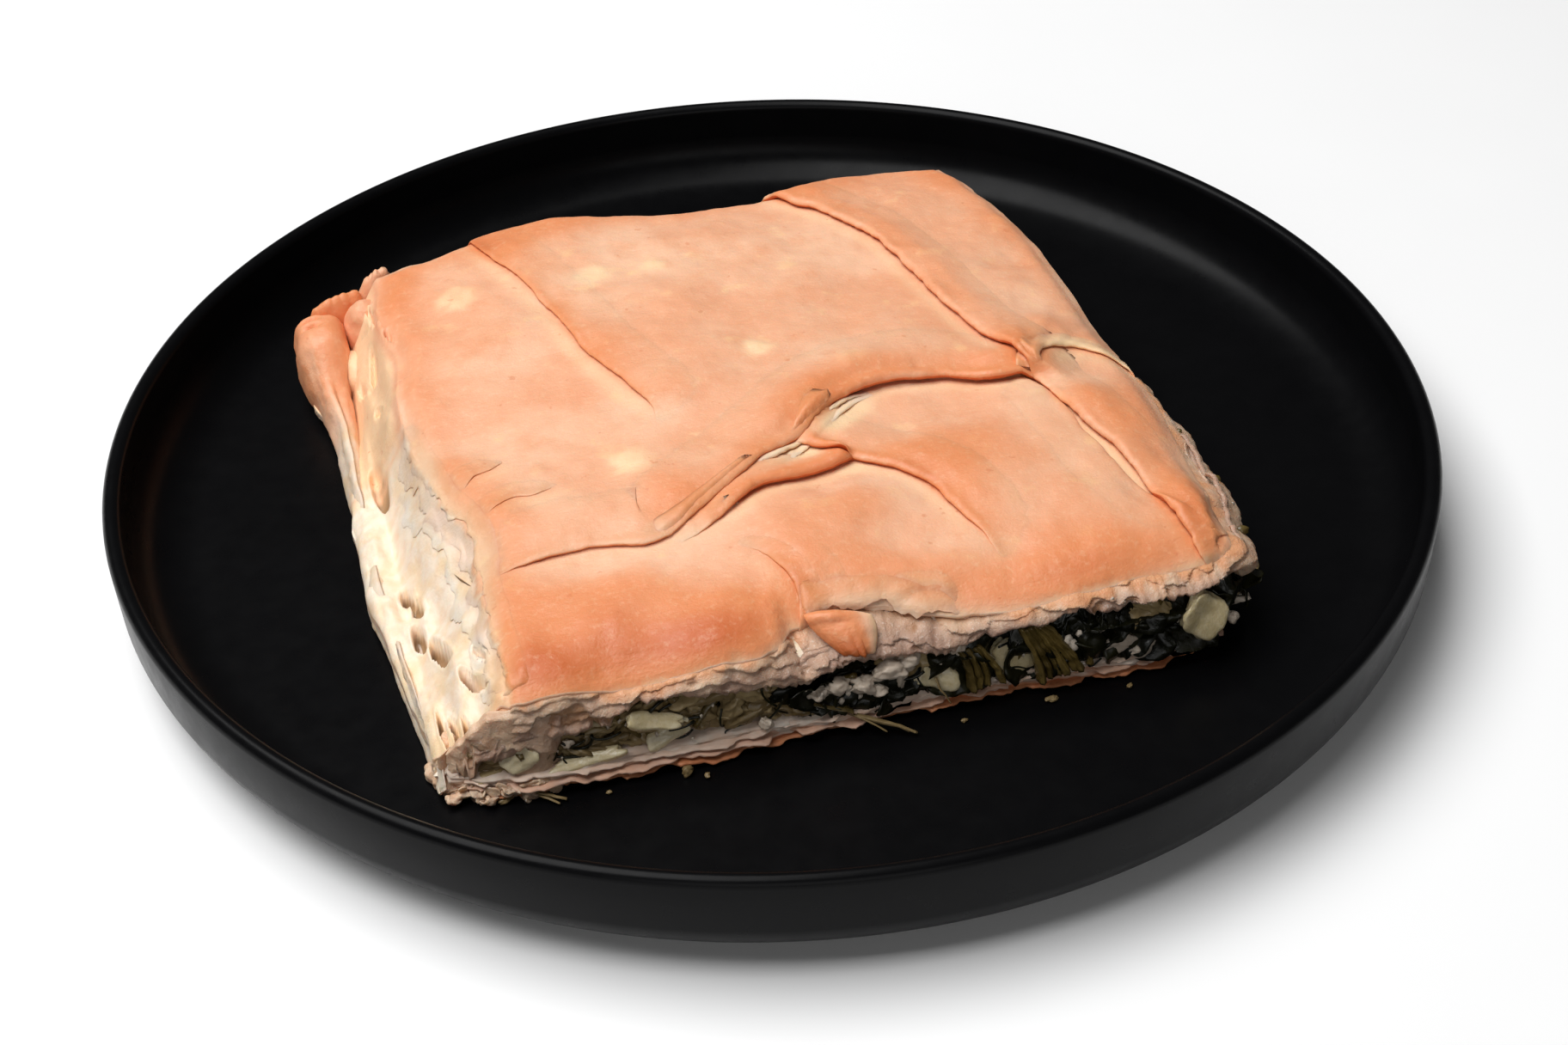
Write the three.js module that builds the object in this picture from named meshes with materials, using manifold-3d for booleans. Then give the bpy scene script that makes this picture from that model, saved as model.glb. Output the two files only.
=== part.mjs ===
// A square slice of spanakopita on its black plate, in millimetres, +Z up.
// The origin is the centre of the plate's foot, and the cut front of the slice faces -Y.
// The slice is an edge piece: its left side is the pan's edge, where the lower sheets turn up
// into a rim, and its other three sides are cut, so that the filling shows between the crusts.
import * as THREE from "three";
import { mergeVertices } from "three/addons/utils/BufferGeometryUtils.js";
import Module from "manifold-3d";

const wasm = await Module();
wasm.setup();

// ---------------------------------------------------------------- driving dimensions
const GAP = 0.3; // clearance between two pieces that touch
const PLATE_RADIUS = 112.5;
const PLATE_HEIGHT = 20;
const PLATE_FLOOR = 5; // height of the plate's upper face
const PLATE_WALL = 3; // thickness of the plate's upright wall

const SLICE = { left: -60, right: 60.5, front: -66, back: 64.5 }; // the brown top skin's edges
const SLICE_BASE = PLATE_FLOOR + GAP;
const EDGE_HEIGHT = 25; // top of the crust at its edges
const CROWN = 2.8; // how much higher the middle is
const EDGE_DROP = 1.8; // the skin rolls down at its edge
const EDGE_ROLL = 4; // over this width

const LOWER_CRUST = 3.4; // thickness of the lower crust
const SLOPE_FOOT = -66; // where the torn left slope meets the rim
const SLOPE_FALL = 1.45; // millimetres down for each one out
const RIM_OUTER = -73; // outer face of the turned-up rim
const RIM_HEIGHT = 8.5; // above the slice's base
const ROLL_START = 22; // from here back the rim is a baked roll
const ROLL_HEIGHT = 15;

// ---------------------------------------------------------------- numbers
const clamp = THREE.MathUtils.clamp;
const smooth = THREE.MathUtils.smoothstep;
const lerp = THREE.MathUtils.lerp;

function lattice(i, j, seed) {
  const v = Math.sin(i * 127.1 + j * 311.7 + seed * 74.7) * 43758.5453;
  return (v - Math.floor(v)) * 2 - 1;
}

// Smooth noise from -1 to 1 whose lumps are about `size` across.
function noise(x, y, size, seed) {
  const u = x / size;
  const v = y / size;
  const i = Math.floor(u);
  const j = Math.floor(v);
  const a = smooth(u - i, 0, 1);
  const b = smooth(v - j, 0, 1);
  return lerp(
    lerp(lattice(i, j, seed), lattice(i + 1, j, seed), a),
    lerp(lattice(i, j + 1, seed), lattice(i + 1, j + 1, seed), a),
    b,
  );
}

// Piecewise smooth curve through [position, value] pairs.
function through(pairs, at) {
  const last = pairs.length - 1;
  if (at <= pairs[0][0]) return pairs[0][1];
  if (at >= pairs[last][0]) return pairs[last][1];
  const k = pairs.findIndex((p, n) => n > 0 && at <= p[0]);
  const t = (at - pairs[k - 1][0]) / (pairs[k][0] - pairs[k - 1][0]);
  return lerp(pairs[k - 1][1], pairs[k][1], smooth(t, 0, 1));
}

// ---------------------------------------------------------------- folds of the top sheets
// Each fold is the free edge of an upper sheet. The sheet lies on the right of the direction of
// travel, stands `lift` above the lower one at its edge and sinks back to it over `reach`.
const FOLDS = [
  {
    name: "left_crease",
    lift: 2.0,
    reach: 9,
    path: [[-21, -12], [-22, 1], [-27, 14], [-31, 30], [-36, 48], [-42, 60]],
  },
  {
    name: "right_strip",
    lift: 3.0,
    reach: 16,
    path: [[55, -68], [52, -54], [48, -36], [43, -16], [36, 6], [32, 24], [30, 40], [16, 60]],
  },
  {
    name: "strip_step",
    lift: 1.2,
    reach: 12,
    path: [[62, -14], [53, -9], [46, -10], [43, -15]],
  },
  {
    name: "centre_lip",
    lift: 3.2,
    reach: 12,
    path: [[44, -13], [28, -11], [16, -7], [4, -13], [-7, -23], [-19, -30]],
  },
  {
    name: "front_lip",
    lift: 2.6,
    reach: 10,
    path: [[10, -29], [-3, -28], [-14, -31], [-24, -37], [-36, -35], [-56, -35]],
  },
  {
    name: "middle_fold",
    lift: 2.4,
    reach: 9,
    path: [[26, -62], [22, -50], [19, -36], [12, -30], [2, -20]],
  },
  {
    name: "front_wrinkle",
    lift: 1.5,
    reach: 7,
    path: [[-11, -66], [-13, -56], [-19, -45]],
  },
];
const FOLD_STEPS = 30;
const FOLD_WIDTH = 1.6; // half the width over which the edge comes down
const FOLD_FADE = 0.16; // share of a fold's length over which each end dies out

for (const fold of FOLDS) {
  const curve = new THREE.SplineCurve(fold.path.map(([x, y]) => new THREE.Vector2(x, y)));
  fold.points = curve.getSpacedPoints(FOLD_STEPS);
}

// How far (x, y) is from the fold, positive on the upper sheet, and where along it.
function beside(fold, x, y) {
  let best = { away: Infinity, side: 0, along: 0 };
  for (let k = 0; k < FOLD_STEPS; k++) {
    const a = fold.points[k];
    const b = fold.points[k + 1];
    const dx = b.x - a.x;
    const dy = b.y - a.y;
    const t = clamp(((x - a.x) * dx + (y - a.y) * dy) / (dx * dx + dy * dy), 0, 1);
    const away = Math.hypot(x - a.x - t * dx, y - a.y - t * dy);
    if (away < best.away) {
      const left = dx * (y - a.y) - dy * (x - a.x);
      best = { away, side: left > 0 ? -away : away, along: (k + t) / FOLD_STEPS };
    }
  }
  return best;
}

function foldLift(x, y) {
  let lift = 0;
  for (const fold of FOLDS) {
    const { side, along } = beside(fold, x, y);
    const ends = smooth(along, 0, FOLD_FADE) * smooth(1 - along, 0, FOLD_FADE);
    const edge = smooth(side, -FOLD_WIDTH, FOLD_WIDTH);
    const groove = 0.25 * Math.exp(-Math.abs(side) / 2.5) * (1 - edge);
    lift += fold.lift * ends * (edge * Math.exp(-Math.max(side, 0) / fold.reach) - groove);
  }
  return lift;
}

// ---------------------------------------------------------------- surfaces of the slice
// Left edge of the brown skin. It wanders, and it is torn back towards the front.
const skinLeft = (y) => SLICE.left + 1.5 * noise(y, 0, 14, 3) + 3.5 * smooth(-y, -10, 30);

function topHeight(x, y) {
  const u = (x - (SLICE.left + SLICE.right) / 2) / ((SLICE.right - SLICE.left) / 2);
  const v = (y - (SLICE.front + SLICE.back) / 2) / ((SLICE.back - SLICE.front) / 2);
  const crown = CROWN * (1 - clamp(u * u, 0, 1)) * (1 - clamp(v * v, 0, 1)) ** 0.5;
  const inside = Math.min(x - skinLeft(y), SLICE.right - x, y - SLICE.front, SLICE.back - y);
  const roll = EDGE_DROP * (1 - smooth(inside, 0, EDGE_ROLL)) ** 2;
  const waves = 0.7 * noise(x, y, 21, 5) + 0.3 * noise(x, y, 8, 6);
  const beyond = Math.max(skinLeft(y) - x, 0);
  const torn = beyond > 0 ? SLOPE_FALL * beyond + 0.9 * noise(x, y, 4, 8) * smooth(beyond, 0, 2) : 0;
  return EDGE_HEIGHT + crown - roll + waves + foldLift(x, y) - torn;
}

// Height above the slice's base of the upper crust's lower face. The knife dragged the crust
// down along the front, thick at the left and thin at the right.
const FRONT_DRAG = [
  [-62, 8.4],
  [-50, 8.6],
  [-32, 13.4],
  [-10, 9.8],
  [8, 11.4],
  [24, 14.2],
  [42, 17.6],
  [54, 13.2],
];
const INNER_LEVEL = 15.5;
const BACK_LEVEL = 12.5;
const DRAG_WIDTH = 14;

function upperInterface(x, y) {
  const front = 1 - smooth(y - SLICE.front, 0, DRAG_WIDTH);
  const back = 1 - smooth(SLICE.back - y, 0, DRAG_WIDTH);
  const behind = BACK_LEVEL + 2.2 * noise(x, 0, 19, 11);
  const drag = front * (through(FRONT_DRAG, x) - INNER_LEVEL);
  const level = INNER_LEVEL + drag + back * (behind - INNER_LEVEL);
  const left = 1 - smooth(x, SLICE.left + 1, SLICE.left + 12);
  return SLICE_BASE + lerp(level, Math.min(level, 7), left);
}

const lowerInterface = (x, y) => SLICE_BASE + LOWER_CRUST + 0.4 * noise(x, y, 15, 13);

// ---------------------------------------------------------------- solids
function toSolid(geometry, tolerance = 1e-3) {
  for (const name of ["normal", "uv"]) geometry.deleteAttribute(name);
  const merged = mergeVertices(geometry, tolerance);
  return new wasm.Manifold(
    new wasm.Mesh({
      numProp: 3,
      vertProperties: merged.attributes.position.array,
      triVerts: new Uint32Array(merged.index.array),
    }),
  );
}

// The largest body of a solid, without loose shavings and closed bubbles.
function mainBody(solid) {
  return solid.decompose().reduce((best, body) => (body.volume() > best.volume() ? body : best));
}

function toGeometry(solid) {
  const mesh = mainBody(solid).getMesh();
  const geometry = new THREE.BufferGeometry();
  geometry.setAttribute("position", new THREE.BufferAttribute(new Float32Array(mesh.vertProperties), 3));
  geometry.setIndex(new THREE.BufferAttribute(new Uint32Array(mesh.triVerts), 1));
  return geometry;
}

// Corners closer than a hundredth of a millimetre become one, and what that pinches off goes.
function settled(solid) {
  let body = solid;
  for (let pass = 0; pass < 3; pass++) body = mainBody(toSolid(toGeometry(body), 0.01));
  const geometry = toGeometry(body);
  geometry.computeVertexNormals();
  return geometry;
}

function indexed(points, faces) {
  const geometry = new THREE.BufferGeometry();
  geometry.setAttribute("position", new THREE.Float32BufferAttribute(points.flat(), 3));
  geometry.setIndex(faces.flat());
  return geometry;
}

// A block over a grid of columns: an upper surface, a ragged wall in rows and a flat underside.
// plan(u, v) gives a column's place, top(x, y) its height, and ragged(x, y, row) pushes the wall
// in or out along its outward direction.
function gridBlock({ columns, rows, plan, top, floor, wallRows, ragged }) {
  const points = [];
  const faces = [];
  const at = (i, j) => j * (columns + 1) + i;
  for (let j = 0; j <= rows; j++) {
    for (let i = 0; i <= columns; i++) {
      const [x, y] = plan(i / columns, j / rows);
      points.push([x, y, top(x, y)]);
    }
  }
  for (let j = 0; j < rows; j++) {
    for (let i = 0; i < columns; i++) {
      const far = at(i + 1, j + 1);
      faces.push([at(i, j), at(i + 1, j), far], [at(i, j), far, at(i, j + 1)]);
    }
  }
  const rim = [];
  for (let i = 0; i < columns; i++) rim.push(at(i, 0));
  for (let j = 0; j < rows; j++) rim.push(at(columns, j));
  for (let i = columns; i > 0; i--) rim.push(at(i, rows));
  for (let j = rows; j > 0; j--) rim.push(at(0, j));
  let above = rim;
  for (let row = 1; row <= wallRows; row++) {
    const below = rim.map((index, k) => {
      const [x, y, z] = points[index];
      const [ax, ay] = points[rim[(k + rim.length - 1) % rim.length]];
      const [bx, by] = points[rim[(k + 1) % rim.length]];
      const long = Math.hypot(bx - ax, by - ay);
      const out = ragged ? ragged(x, y, row / wallRows) : 0;
      const down = lerp(z, floor, row / wallRows);
      points.push([x + ((by - ay) / long) * out, y - ((bx - ax) / long) * out, down]);
      return points.length - 1;
    });
    for (let k = 0; k < rim.length; k++) {
      const next = (k + 1) % rim.length;
      faces.push([above[k], below[k], below[next]], [above[k], below[next], above[next]]);
    }
    above = below;
  }
  const outline = above.map((index) => new THREE.Vector2(points[index][0], points[index][1]));
  for (const [a, b, c] of THREE.ShapeUtils.triangulateShape(outline, [])) {
    faces.push([above[a], above[c], above[b]]);
  }
  return toSolid(indexed(points, faces));
}

// Everything below a surface, over more than the whole slice, to cut with.
function below(surface, offset, cells) {
  const reach = 85;
  return gridBlock({
    columns: cells,
    rows: cells,
    plan: (u, v) => [lerp(-reach, reach, u), lerp(-reach, reach, v)],
    top: (x, y) => surface(x, y) + offset,
    floor: -10,
    wallRows: 1,
  });
}

// ---------------------------------------------------------------- upper crust
const CRUST_CELLS = 38;

function upperCrust() {
  const block = gridBlock({
    columns: CRUST_CELLS,
    rows: CRUST_CELLS,
    plan: (u, v) => {
      const fringe = 4 * Math.max(Math.abs(u - 0.5), Math.abs(v - 0.5)) ** 2;
      const right = SLICE.right + 1.2 * noise(v * 130, 2, 11, 21);
      const front = SLICE.front + 0.9 * noise(u * 130, 1, 9, 22);
      const back = SLICE.back + 1.4 * noise(u * 130, 3, 13, 23);
      const x = lerp(SLOPE_FOOT, right, u);
      const y = lerp(front, back, v);
      return [x + (u > 0.1 ? 0.2 * fringe * noise(x, y, 3, 24) : 0), y];
    },
    top: topHeight,
    floor: PLATE_FLOOR,
    wallRows: 5,
    // The cut layers flake out a little on the three cut sides. The left one hides in the rim.
    ragged: (x, y, down) => (x < SLOPE_FOOT + 1 ? 0 : 0.7 * noise(x + y, down * 40, 5, 25) - 0.4 * down),
  });
  return block.subtract(below(upperInterface, 0, 18));
}

// ---------------------------------------------------------------- lower crust with its rim
// The rim is a loft along Y: low and pale at the front, rising to a baked roll at the back.
function rim() {
  const stations = 22;
  const around = 10;
  const points = [];
  const faces = [];
  for (let s = 0; s <= stations; s++) {
    const y = lerp(SLICE.front + 1.5, SLICE.back - 3, s / stations);
    const baked = smooth(y, ROLL_START, ROLL_START + 18);
    const sunk = 2.5 * smooth(-y, 45, 66);
    const high = lerp(RIM_HEIGHT, ROLL_HEIGHT, baked) - sunk + 0.8 * noise(y, 0, 9, 31);
    const drawnIn = 4.5 * smooth(-y, 15, 66);
    const outer = RIM_OUTER - 2.2 * baked + drawnIn + 0.7 * noise(y, 4, 10, 32);
    const inner = SLOPE_FOOT - GAP - 0.1;
    const middle = (outer + inner) / 2;
    const half = (inner - outer) / 2;
    for (let k = 0; k < around; k++) {
      const angle = (k / around) * Math.PI * 2;
      const wide = Math.sign(Math.cos(angle)) * Math.abs(Math.cos(angle)) ** 0.7;
      const tall = Math.sign(Math.sin(angle)) * Math.abs(Math.sin(angle)) ** 0.8;
      points.push([middle + half * wide, y, SLICE_BASE + (high / 2) * (1 + tall)]);
    }
  }
  for (let s = 0; s < stations; s++) {
    for (let k = 0; k < around; k++) {
      const a = s * around + k;
      const b = s * around + ((k + 1) % around);
      faces.push([a, b, b + around], [a, b + around, a + around]);
    }
  }
  const last = stations * around;
  for (let k = 1; k < around - 1; k++) {
    faces.push([0, k + 1, k], [last, last + k, last + k + 1]);
  }
  const solid = toSolid(indexed(points, faces));
  return solid.volume() < 0 ? toSolid(indexed(points, faces.map(([a, b, c]) => [a, c, b]))) : solid;
}

function lowerCrust() {
  const slab = gridBlock({
    columns: 20,
    rows: 20,
    plan: (u, v) => {
      const left = SLOPE_FOOT - 4 + 3 * smooth(0.35 - v, 0, 0.35);
      const right = SLICE.right + 1.4 * noise(v * 130, 5, 9, 41);
      const front = SLICE.front - 1 + 0.8 * noise(u * 130, 6, 8, 42);
      const back = SLICE.back + 0.8 * noise(u * 130, 7, 8, 43);
      return [lerp(left, right, u), lerp(front, back, v)];
    },
    top: lowerInterface,
    floor: SLICE_BASE,
    wallRows: 2,
    ragged: (x, y, down) => 0.5 * noise(x + y, down * 9, 4, 44),
  });
  return slab.add(rim());
}

// ---------------------------------------------------------------- filling
const FILLING_CELLS = 18;
const BULGE = 6; // the filling swells out of the right side

function fillingCore() {
  const block = gridBlock({
    columns: FILLING_CELLS,
    rows: FILLING_CELLS,
    plan: (u, v) => {
      const swell = BULGE * smooth(1 - Math.abs(v - 0.2) * 2.6, 0, 1);
      const x = lerp(SLOPE_FOOT, SLICE.right - 0.5 + swell, u);
      const y = lerp(SLICE.front + 0.6, SLICE.back - 1.2, v);
      return [x, y];
    },
    top: () => SLICE_BASE + 18.5,
    floor: SLICE_BASE + 2,
    wallRows: 5,
    ragged: (x, y, down) => (x < SLOPE_FOOT + 2 ? 0 : 1.1 * noise(x + y, down * 20, 4.5, 51)),
  });
  return block;
}

// Bits of the filling that show on its cut faces. Each is a small closed shape.
function lump(radiusX, radiusY, radiusZ, seed, detail) {
  const geometry = new THREE.IcosahedronGeometry(1, detail);
  const p = geometry.attributes.position;
  for (let k = 0; k < p.count; k++) {
    const swell = 1 + 0.18 * noise(p.getX(k) * 3 + p.getZ(k) * 5, p.getY(k) * 3, 1, seed);
    p.setXYZ(k, p.getX(k) * radiusX * swell, p.getY(k) * radiusY * swell, p.getZ(k) * radiusZ * swell);
  }
  return geometry;
}

function stem(length, radius, bend) {
  const line = new THREE.QuadraticBezierCurve3(
    new THREE.Vector3(0, 0, -length / 2),
    new THREE.Vector3(bend, bend / 2, 0),
    new THREE.Vector3(0, 0, length / 2),
  );
  const section = new THREE.Shape();
  section.absellipse(0, 0, radius, radius * 0.7, 0, Math.PI * 2);
  return new THREE.ExtrudeGeometry(section, { steps: 3, extrudePath: line, curveSegments: 2 });
}

// The three cut faces: a start, the direction along the face and its outward direction.
const CUT_FACES = [
  { start: [-55, SLICE.front + 0.6], along: [1, 0], out: [0, -1], length: 114, bits: 17 },
  { start: [SLICE.right - 0.5, -60], along: [0, 1], out: [1, 0], length: 120, bits: 14 },
  { start: [-52, SLICE.back - 1.2], along: [1, 0], out: [0, 1], length: 108, bits: 12 },
];
const SHAPES = [
  (seed) => lump(3.4, 1.9, 2.6, seed, 1), // leaf clump
  () => stem(9, 1.2, 1.4), // stalk
  (seed) => lump(4.2, 1.4, 3.2, seed, 0), // onion
  (seed) => lump(2.8, 2.2, 2.2, seed, 0), // cheese
];

function fillingBits() {
  const bits = [];
  let seed = 60;
  for (const face of CUT_FACES) {
    for (let k = 0; k < face.bits; k++) {
      seed += 1;
      const far = ((k + 0.5 + 0.3 * lattice(k, 1, seed)) / face.bits) * face.length;
      const x = face.start[0] + face.along[0] * far;
      const y = face.start[1] + face.along[1] * far;
      const low = lowerInterface(x, y) + 2.6;
      const high = Math.max(upperInterface(x, y) - 2.6, low + 0.5);
      const z = lerp(low, high, 0.5 + 0.5 * lattice(k, 2, seed));
      const geometry = SHAPES[k % SHAPES.length](seed);
      geometry.rotateY(lattice(k, 3, seed) * 0.9);
      geometry.rotateZ(Math.atan2(face.along[1], face.along[0]) + 0.4 * lattice(k, 4, seed));
      const proud = 0.4;
      geometry.translate(x + face.out[0] * proud, y + face.out[1] * proud, z);
      bits.push(toSolid(geometry));
    }
  }
  return bits;
}

function filling() {
  let solid = fillingCore();
  for (const bit of fillingBits()) solid = solid.add(bit);
  solid = solid.intersect(below(upperInterface, -GAP, 18));
  return solid.subtract(below(lowerInterface, GAP, 24));
}

// ---------------------------------------------------------------- plate
// Flat floor, a round fillet up to an upright wall with a round lip, and a foot ring below.
function plate() {
  const r = PLATE_RADIUS;
  const path = new THREE.Path();
  path.moveTo(0, PLATE_FLOOR);
  path.lineTo(r - PLATE_WALL - 11, PLATE_FLOOR);
  path.quadraticCurveTo(r - PLATE_WALL - 1.5, PLATE_FLOOR, r - PLATE_WALL, PLATE_FLOOR + 8);
  path.lineTo(r - PLATE_WALL, PLATE_HEIGHT - PLATE_WALL / 2);
  path.absarc(r - PLATE_WALL / 2, PLATE_HEIGHT - PLATE_WALL / 2, PLATE_WALL / 2, Math.PI, 0, true);
  path.lineTo(r - 0.4, PLATE_FLOOR + 5);
  path.quadraticCurveTo(r - 2, 1.6, r - 16, 1.4);
  path.lineTo(r - 20, 0);
  path.lineTo(r - 24, 0);
  path.lineTo(r - 27, 1.5);
  path.lineTo(0, 1.5);
  const profile = path.getPoints(5).reverse();
  return new THREE.LatheGeometry(profile, 52).rotateX(Math.PI / 2);
}

// ---------------------------------------------------------------- the object
const MATERIALS = {
  plate: { color: 0x101012, roughness: 0.38, metalness: 0 },
  upper_crust: { color: 0xe9a574, roughness: 0.5, metalness: 0 },
  lower_crust: { color: 0xd9b894, roughness: 0.7, metalness: 0 },
  filling: { color: 0x2c2f1c, roughness: 0.4, metalness: 0 },
};

const pieces = {
  plate: plate(),
  lower_crust: settled(lowerCrust()),
  filling: settled(filling()),
  upper_crust: settled(upperCrust()),
};

const slice = new THREE.Group();
for (const [name, geometry] of Object.entries(pieces)) {
  const mesh = new THREE.Mesh(geometry, new THREE.MeshStandardMaterial(MATERIALS[name]));
  mesh.name = name;
  slice.add(mesh);
}

export default slice;
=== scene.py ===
"""Looks of a square slice of spanakopita on its black plate.

Lengths are millimetres in the part's frame until a mesh is made. The slice's cut front faces -Y,
and its left side (-X) is the baked edge of the pan. The named sizes are those of the solids.
"""

import math

import bmesh
import bpy
import numpy as np
from mathutils import Matrix, Vector


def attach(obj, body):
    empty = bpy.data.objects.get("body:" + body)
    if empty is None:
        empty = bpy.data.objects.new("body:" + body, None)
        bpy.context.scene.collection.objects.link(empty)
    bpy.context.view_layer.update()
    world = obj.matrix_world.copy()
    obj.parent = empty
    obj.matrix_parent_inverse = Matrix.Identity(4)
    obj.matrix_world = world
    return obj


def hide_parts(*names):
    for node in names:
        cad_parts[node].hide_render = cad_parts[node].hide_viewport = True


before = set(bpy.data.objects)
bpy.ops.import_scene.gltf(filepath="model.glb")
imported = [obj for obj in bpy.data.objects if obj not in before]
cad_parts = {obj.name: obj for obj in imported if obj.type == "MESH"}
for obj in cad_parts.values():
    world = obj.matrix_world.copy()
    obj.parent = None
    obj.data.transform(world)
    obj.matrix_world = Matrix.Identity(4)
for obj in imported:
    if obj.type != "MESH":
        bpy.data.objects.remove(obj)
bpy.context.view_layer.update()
MM = 0.001

# ------------------------------------------------------------------ driving sizes
PLATE_RADIUS = 112.5
PLATE_HEIGHT = 20.0
PLATE_FLOOR = 5.0  # height of the upper face that the slice stands on
PLATE_WALL = 3.0

LEFT, RIGHT, FRONT, BACK = -60.0, 60.5, -66.0, 64.5  # the skin's four edges
BASE = PLATE_FLOOR + 0.3  # where the slice begins
EDGE_HEIGHT = 25.0  # of the skin near its edges
CROWN = 2.8  # how much higher its middle is
EDGE_DROP = 1.8  # how far its edges roll down
EDGE_ROLL = 4.0  # over what width they do
SLOPE_FOOT = -66.0  # where the left slope meets the rim
SLOPE_HEEL = -67.0  # where it stops falling steeply
SLOPE_LOW = 13.0  # its height there
LOWER_CRUST = 3.4  # thickness
RIM_OUTER = -73.0  # the rim's outer side
RIM_HEIGHT = 8.5  # its height in front, where it is pale
ROLL_START = 22.0  # where it starts to be a browned roll
ROLL_HEIGHT = 15.0  # the roll's height

# The upper crust's lower face, over BASE: along the front cut, and its level inside and at the back.
FRONT_DRAG = (
    (-62, 8.4), (-50, 8.6), (-32, 13.4), (-10, 9.8), (8, 11.4), (24, 14.2), (42, 17.6), (54, 13.2),
)
INNER_LEVEL = 15.5
BACK_LEVEL = 12.5
DRAG_WIDTH = 14.0  # how far in from a cut it is back at the inner level
BULGE = 5.5  # how far the filling swells out past the skin on the right

# Where the brown skin ends on each cut side: position along the side, place of the edge.
FRONT_EDGE = (
    (-66, -61), (-60, -62.8), (-54, -65.0), (-40, -64.9), (-28, -65.7), (-19, -65.6), (-15.5, -64.2),
    (-12, -60.5), (-6, -58.5), (2, -59.8), (9, -62.8), (13, -63.9), (22, -65.2), (34, -64.8),
    (44, -63.8), (52, -63.4), (57, -62.2), (61, -59.5),
)

RIGHT_EDGE = (
    (-66, 59), (-52, 59.5), (-41, 60), (-24, 61), (10, 59.5), (31, 59), (46, 56.5), (56, 54), (65, 50.5),
)
BACK_EDGE = (
    (-66, 56), (-60, 58), (-52, 60.5), (-38, 65.5), (-28, 66.5), (-16, 65), (-3, 63), (10, 62.3),
    (19, 63), (29, 66.5), (40, 67), (50, 64.5), (56, 61),
)

# The lower crust and the filling end straighter in front than the skin does.
LOWER_FRONT = (
    (-70, -61), (-66, -64), (-60, -66.6), (-50, -67.2), (-10, -66.8), (23, -66), (42, -66.6), (56, -65),
    (62, -61.5),
)
FILL_FRONT = (
    (-66, -62.5), (-58, -64.6), (-40, -65.4), (-14, -65.8), (20, -65.4), (42, -66), (55, -65), (62, -60),
)


# ------------------------------------------------------------------ numbers
def smooth(value, low, high):
    """A soft step from 0 at low to 1 at high; low may be the greater."""
    t = np.clip((value - low) / (high - low), 0, 1)
    return t * t * (3 - 2 * t)


def mix(a, b, t):
    """What lies between a and b, at share t of the way."""
    return a + (b - a) * t


# Multipliers that scatter the sines of neighbouring lattice points.
SCATTER = (127.1, 311.7, 191.3, 74.7)
SCATTER_SCALE = 43758.5453


def lattice(i, j, k, seed):
    """A number from -1 to 1 at each whole point of a lattice."""
    a, b, c, d = SCATTER
    v = np.sin(i * a + j * b + k * c + seed * d) * SCATTER_SCALE
    return (v - np.floor(v)) * 2 - 1


def noise(x, y, size, seed):
    """Smooth noise from -1 to 1 over a plane, with lumps about `size` across."""
    u, v = np.broadcast_arrays(np.asarray(x, float) / size, np.asarray(y, float) / size)
    i, j = np.floor(u), np.floor(v)
    a, b = smooth(u - i, 0, 1), smooth(v - j, 0, 1)
    near = mix(lattice(i, j, 0, seed), lattice(i + 1, j, 0, seed), a)
    far = mix(lattice(i, j + 1, 0, seed), lattice(i + 1, j + 1, 0, seed), a)
    return mix(near, far, b)


def rough(x, y, size, seed, octaves=4):
    """Noise with finer and finer lumps added, each half as strong."""
    return sum(noise(x, y, size / 2**o, seed + 10 * o) / 2**o for o in range(octaves))


def noise3(p, size, seed):
    """The same in space, at points along the last axis of an array."""
    u = np.asarray(p, float) / size
    i = np.floor(u)
    a = smooth(u - i, 0, 1)
    total = 0
    for dx in (0, 1):
        for dy in (0, 1):
            for dz in (0, 1):
                weight = np.abs(1 - dx - a[..., 0]) * np.abs(1 - dy - a[..., 1]) * np.abs(1 - dz - a[..., 2])
                total = total + weight * lattice(i[..., 0] + dx, i[..., 1] + dy, i[..., 2] + dz, seed)
    return total


def rough3(p, size, seed, octaves=3):
    """The same in space."""
    return sum(noise3(p, size / 2**o, seed + 10 * o) / 2**o for o in range(octaves))


def noises(x, y, *lumps):
    """Noise of several sizes added up: strength, size and seed of each."""
    return sum(strength * noise(x, y, size, seed) for strength, size, seed in lumps)


def noises3(p, *lumps):
    """The same in space."""
    return sum(strength * noise3(p, size, seed) for strength, size, seed in lumps)


def shaken(points, size, seed, apart=40):
    """A vector of noise for each point, with lumps about `size` across."""
    return np.stack([noise3(points + apart * axis, size, seed) for axis in range(3)], axis=1)


def bell(value):
    """1 at nought, sinking smoothly on both sides."""
    return np.exp(-(value**2))


def hill(x, y, place_x, place_y, wide, long):
    """1 at a place, sinking smoothly all round it over its half widths."""
    return np.exp(-(((x - place_x) / wide) ** 2 + ((y - place_y) / long) ** 2))


def hills(x, y, table):
    """Hills added up: place, half widths and height of each."""
    return sum(row[-1] * hill(x, y, *row[:-1]) for row in table)
def through(pairs, at):
    """A smooth curve through (position, value) pairs, level past both ends."""
    places, values = np.array(pairs, float).T
    at = np.clip(at, places[0], places[-1])
    k = np.clip(np.searchsorted(places, at, side="left"), 1, len(places) - 1)
    t = (at - places[k - 1]) / (places[k] - places[k - 1])
    return mix(values[k - 1], values[k], smooth(t, 0, 1))


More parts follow.
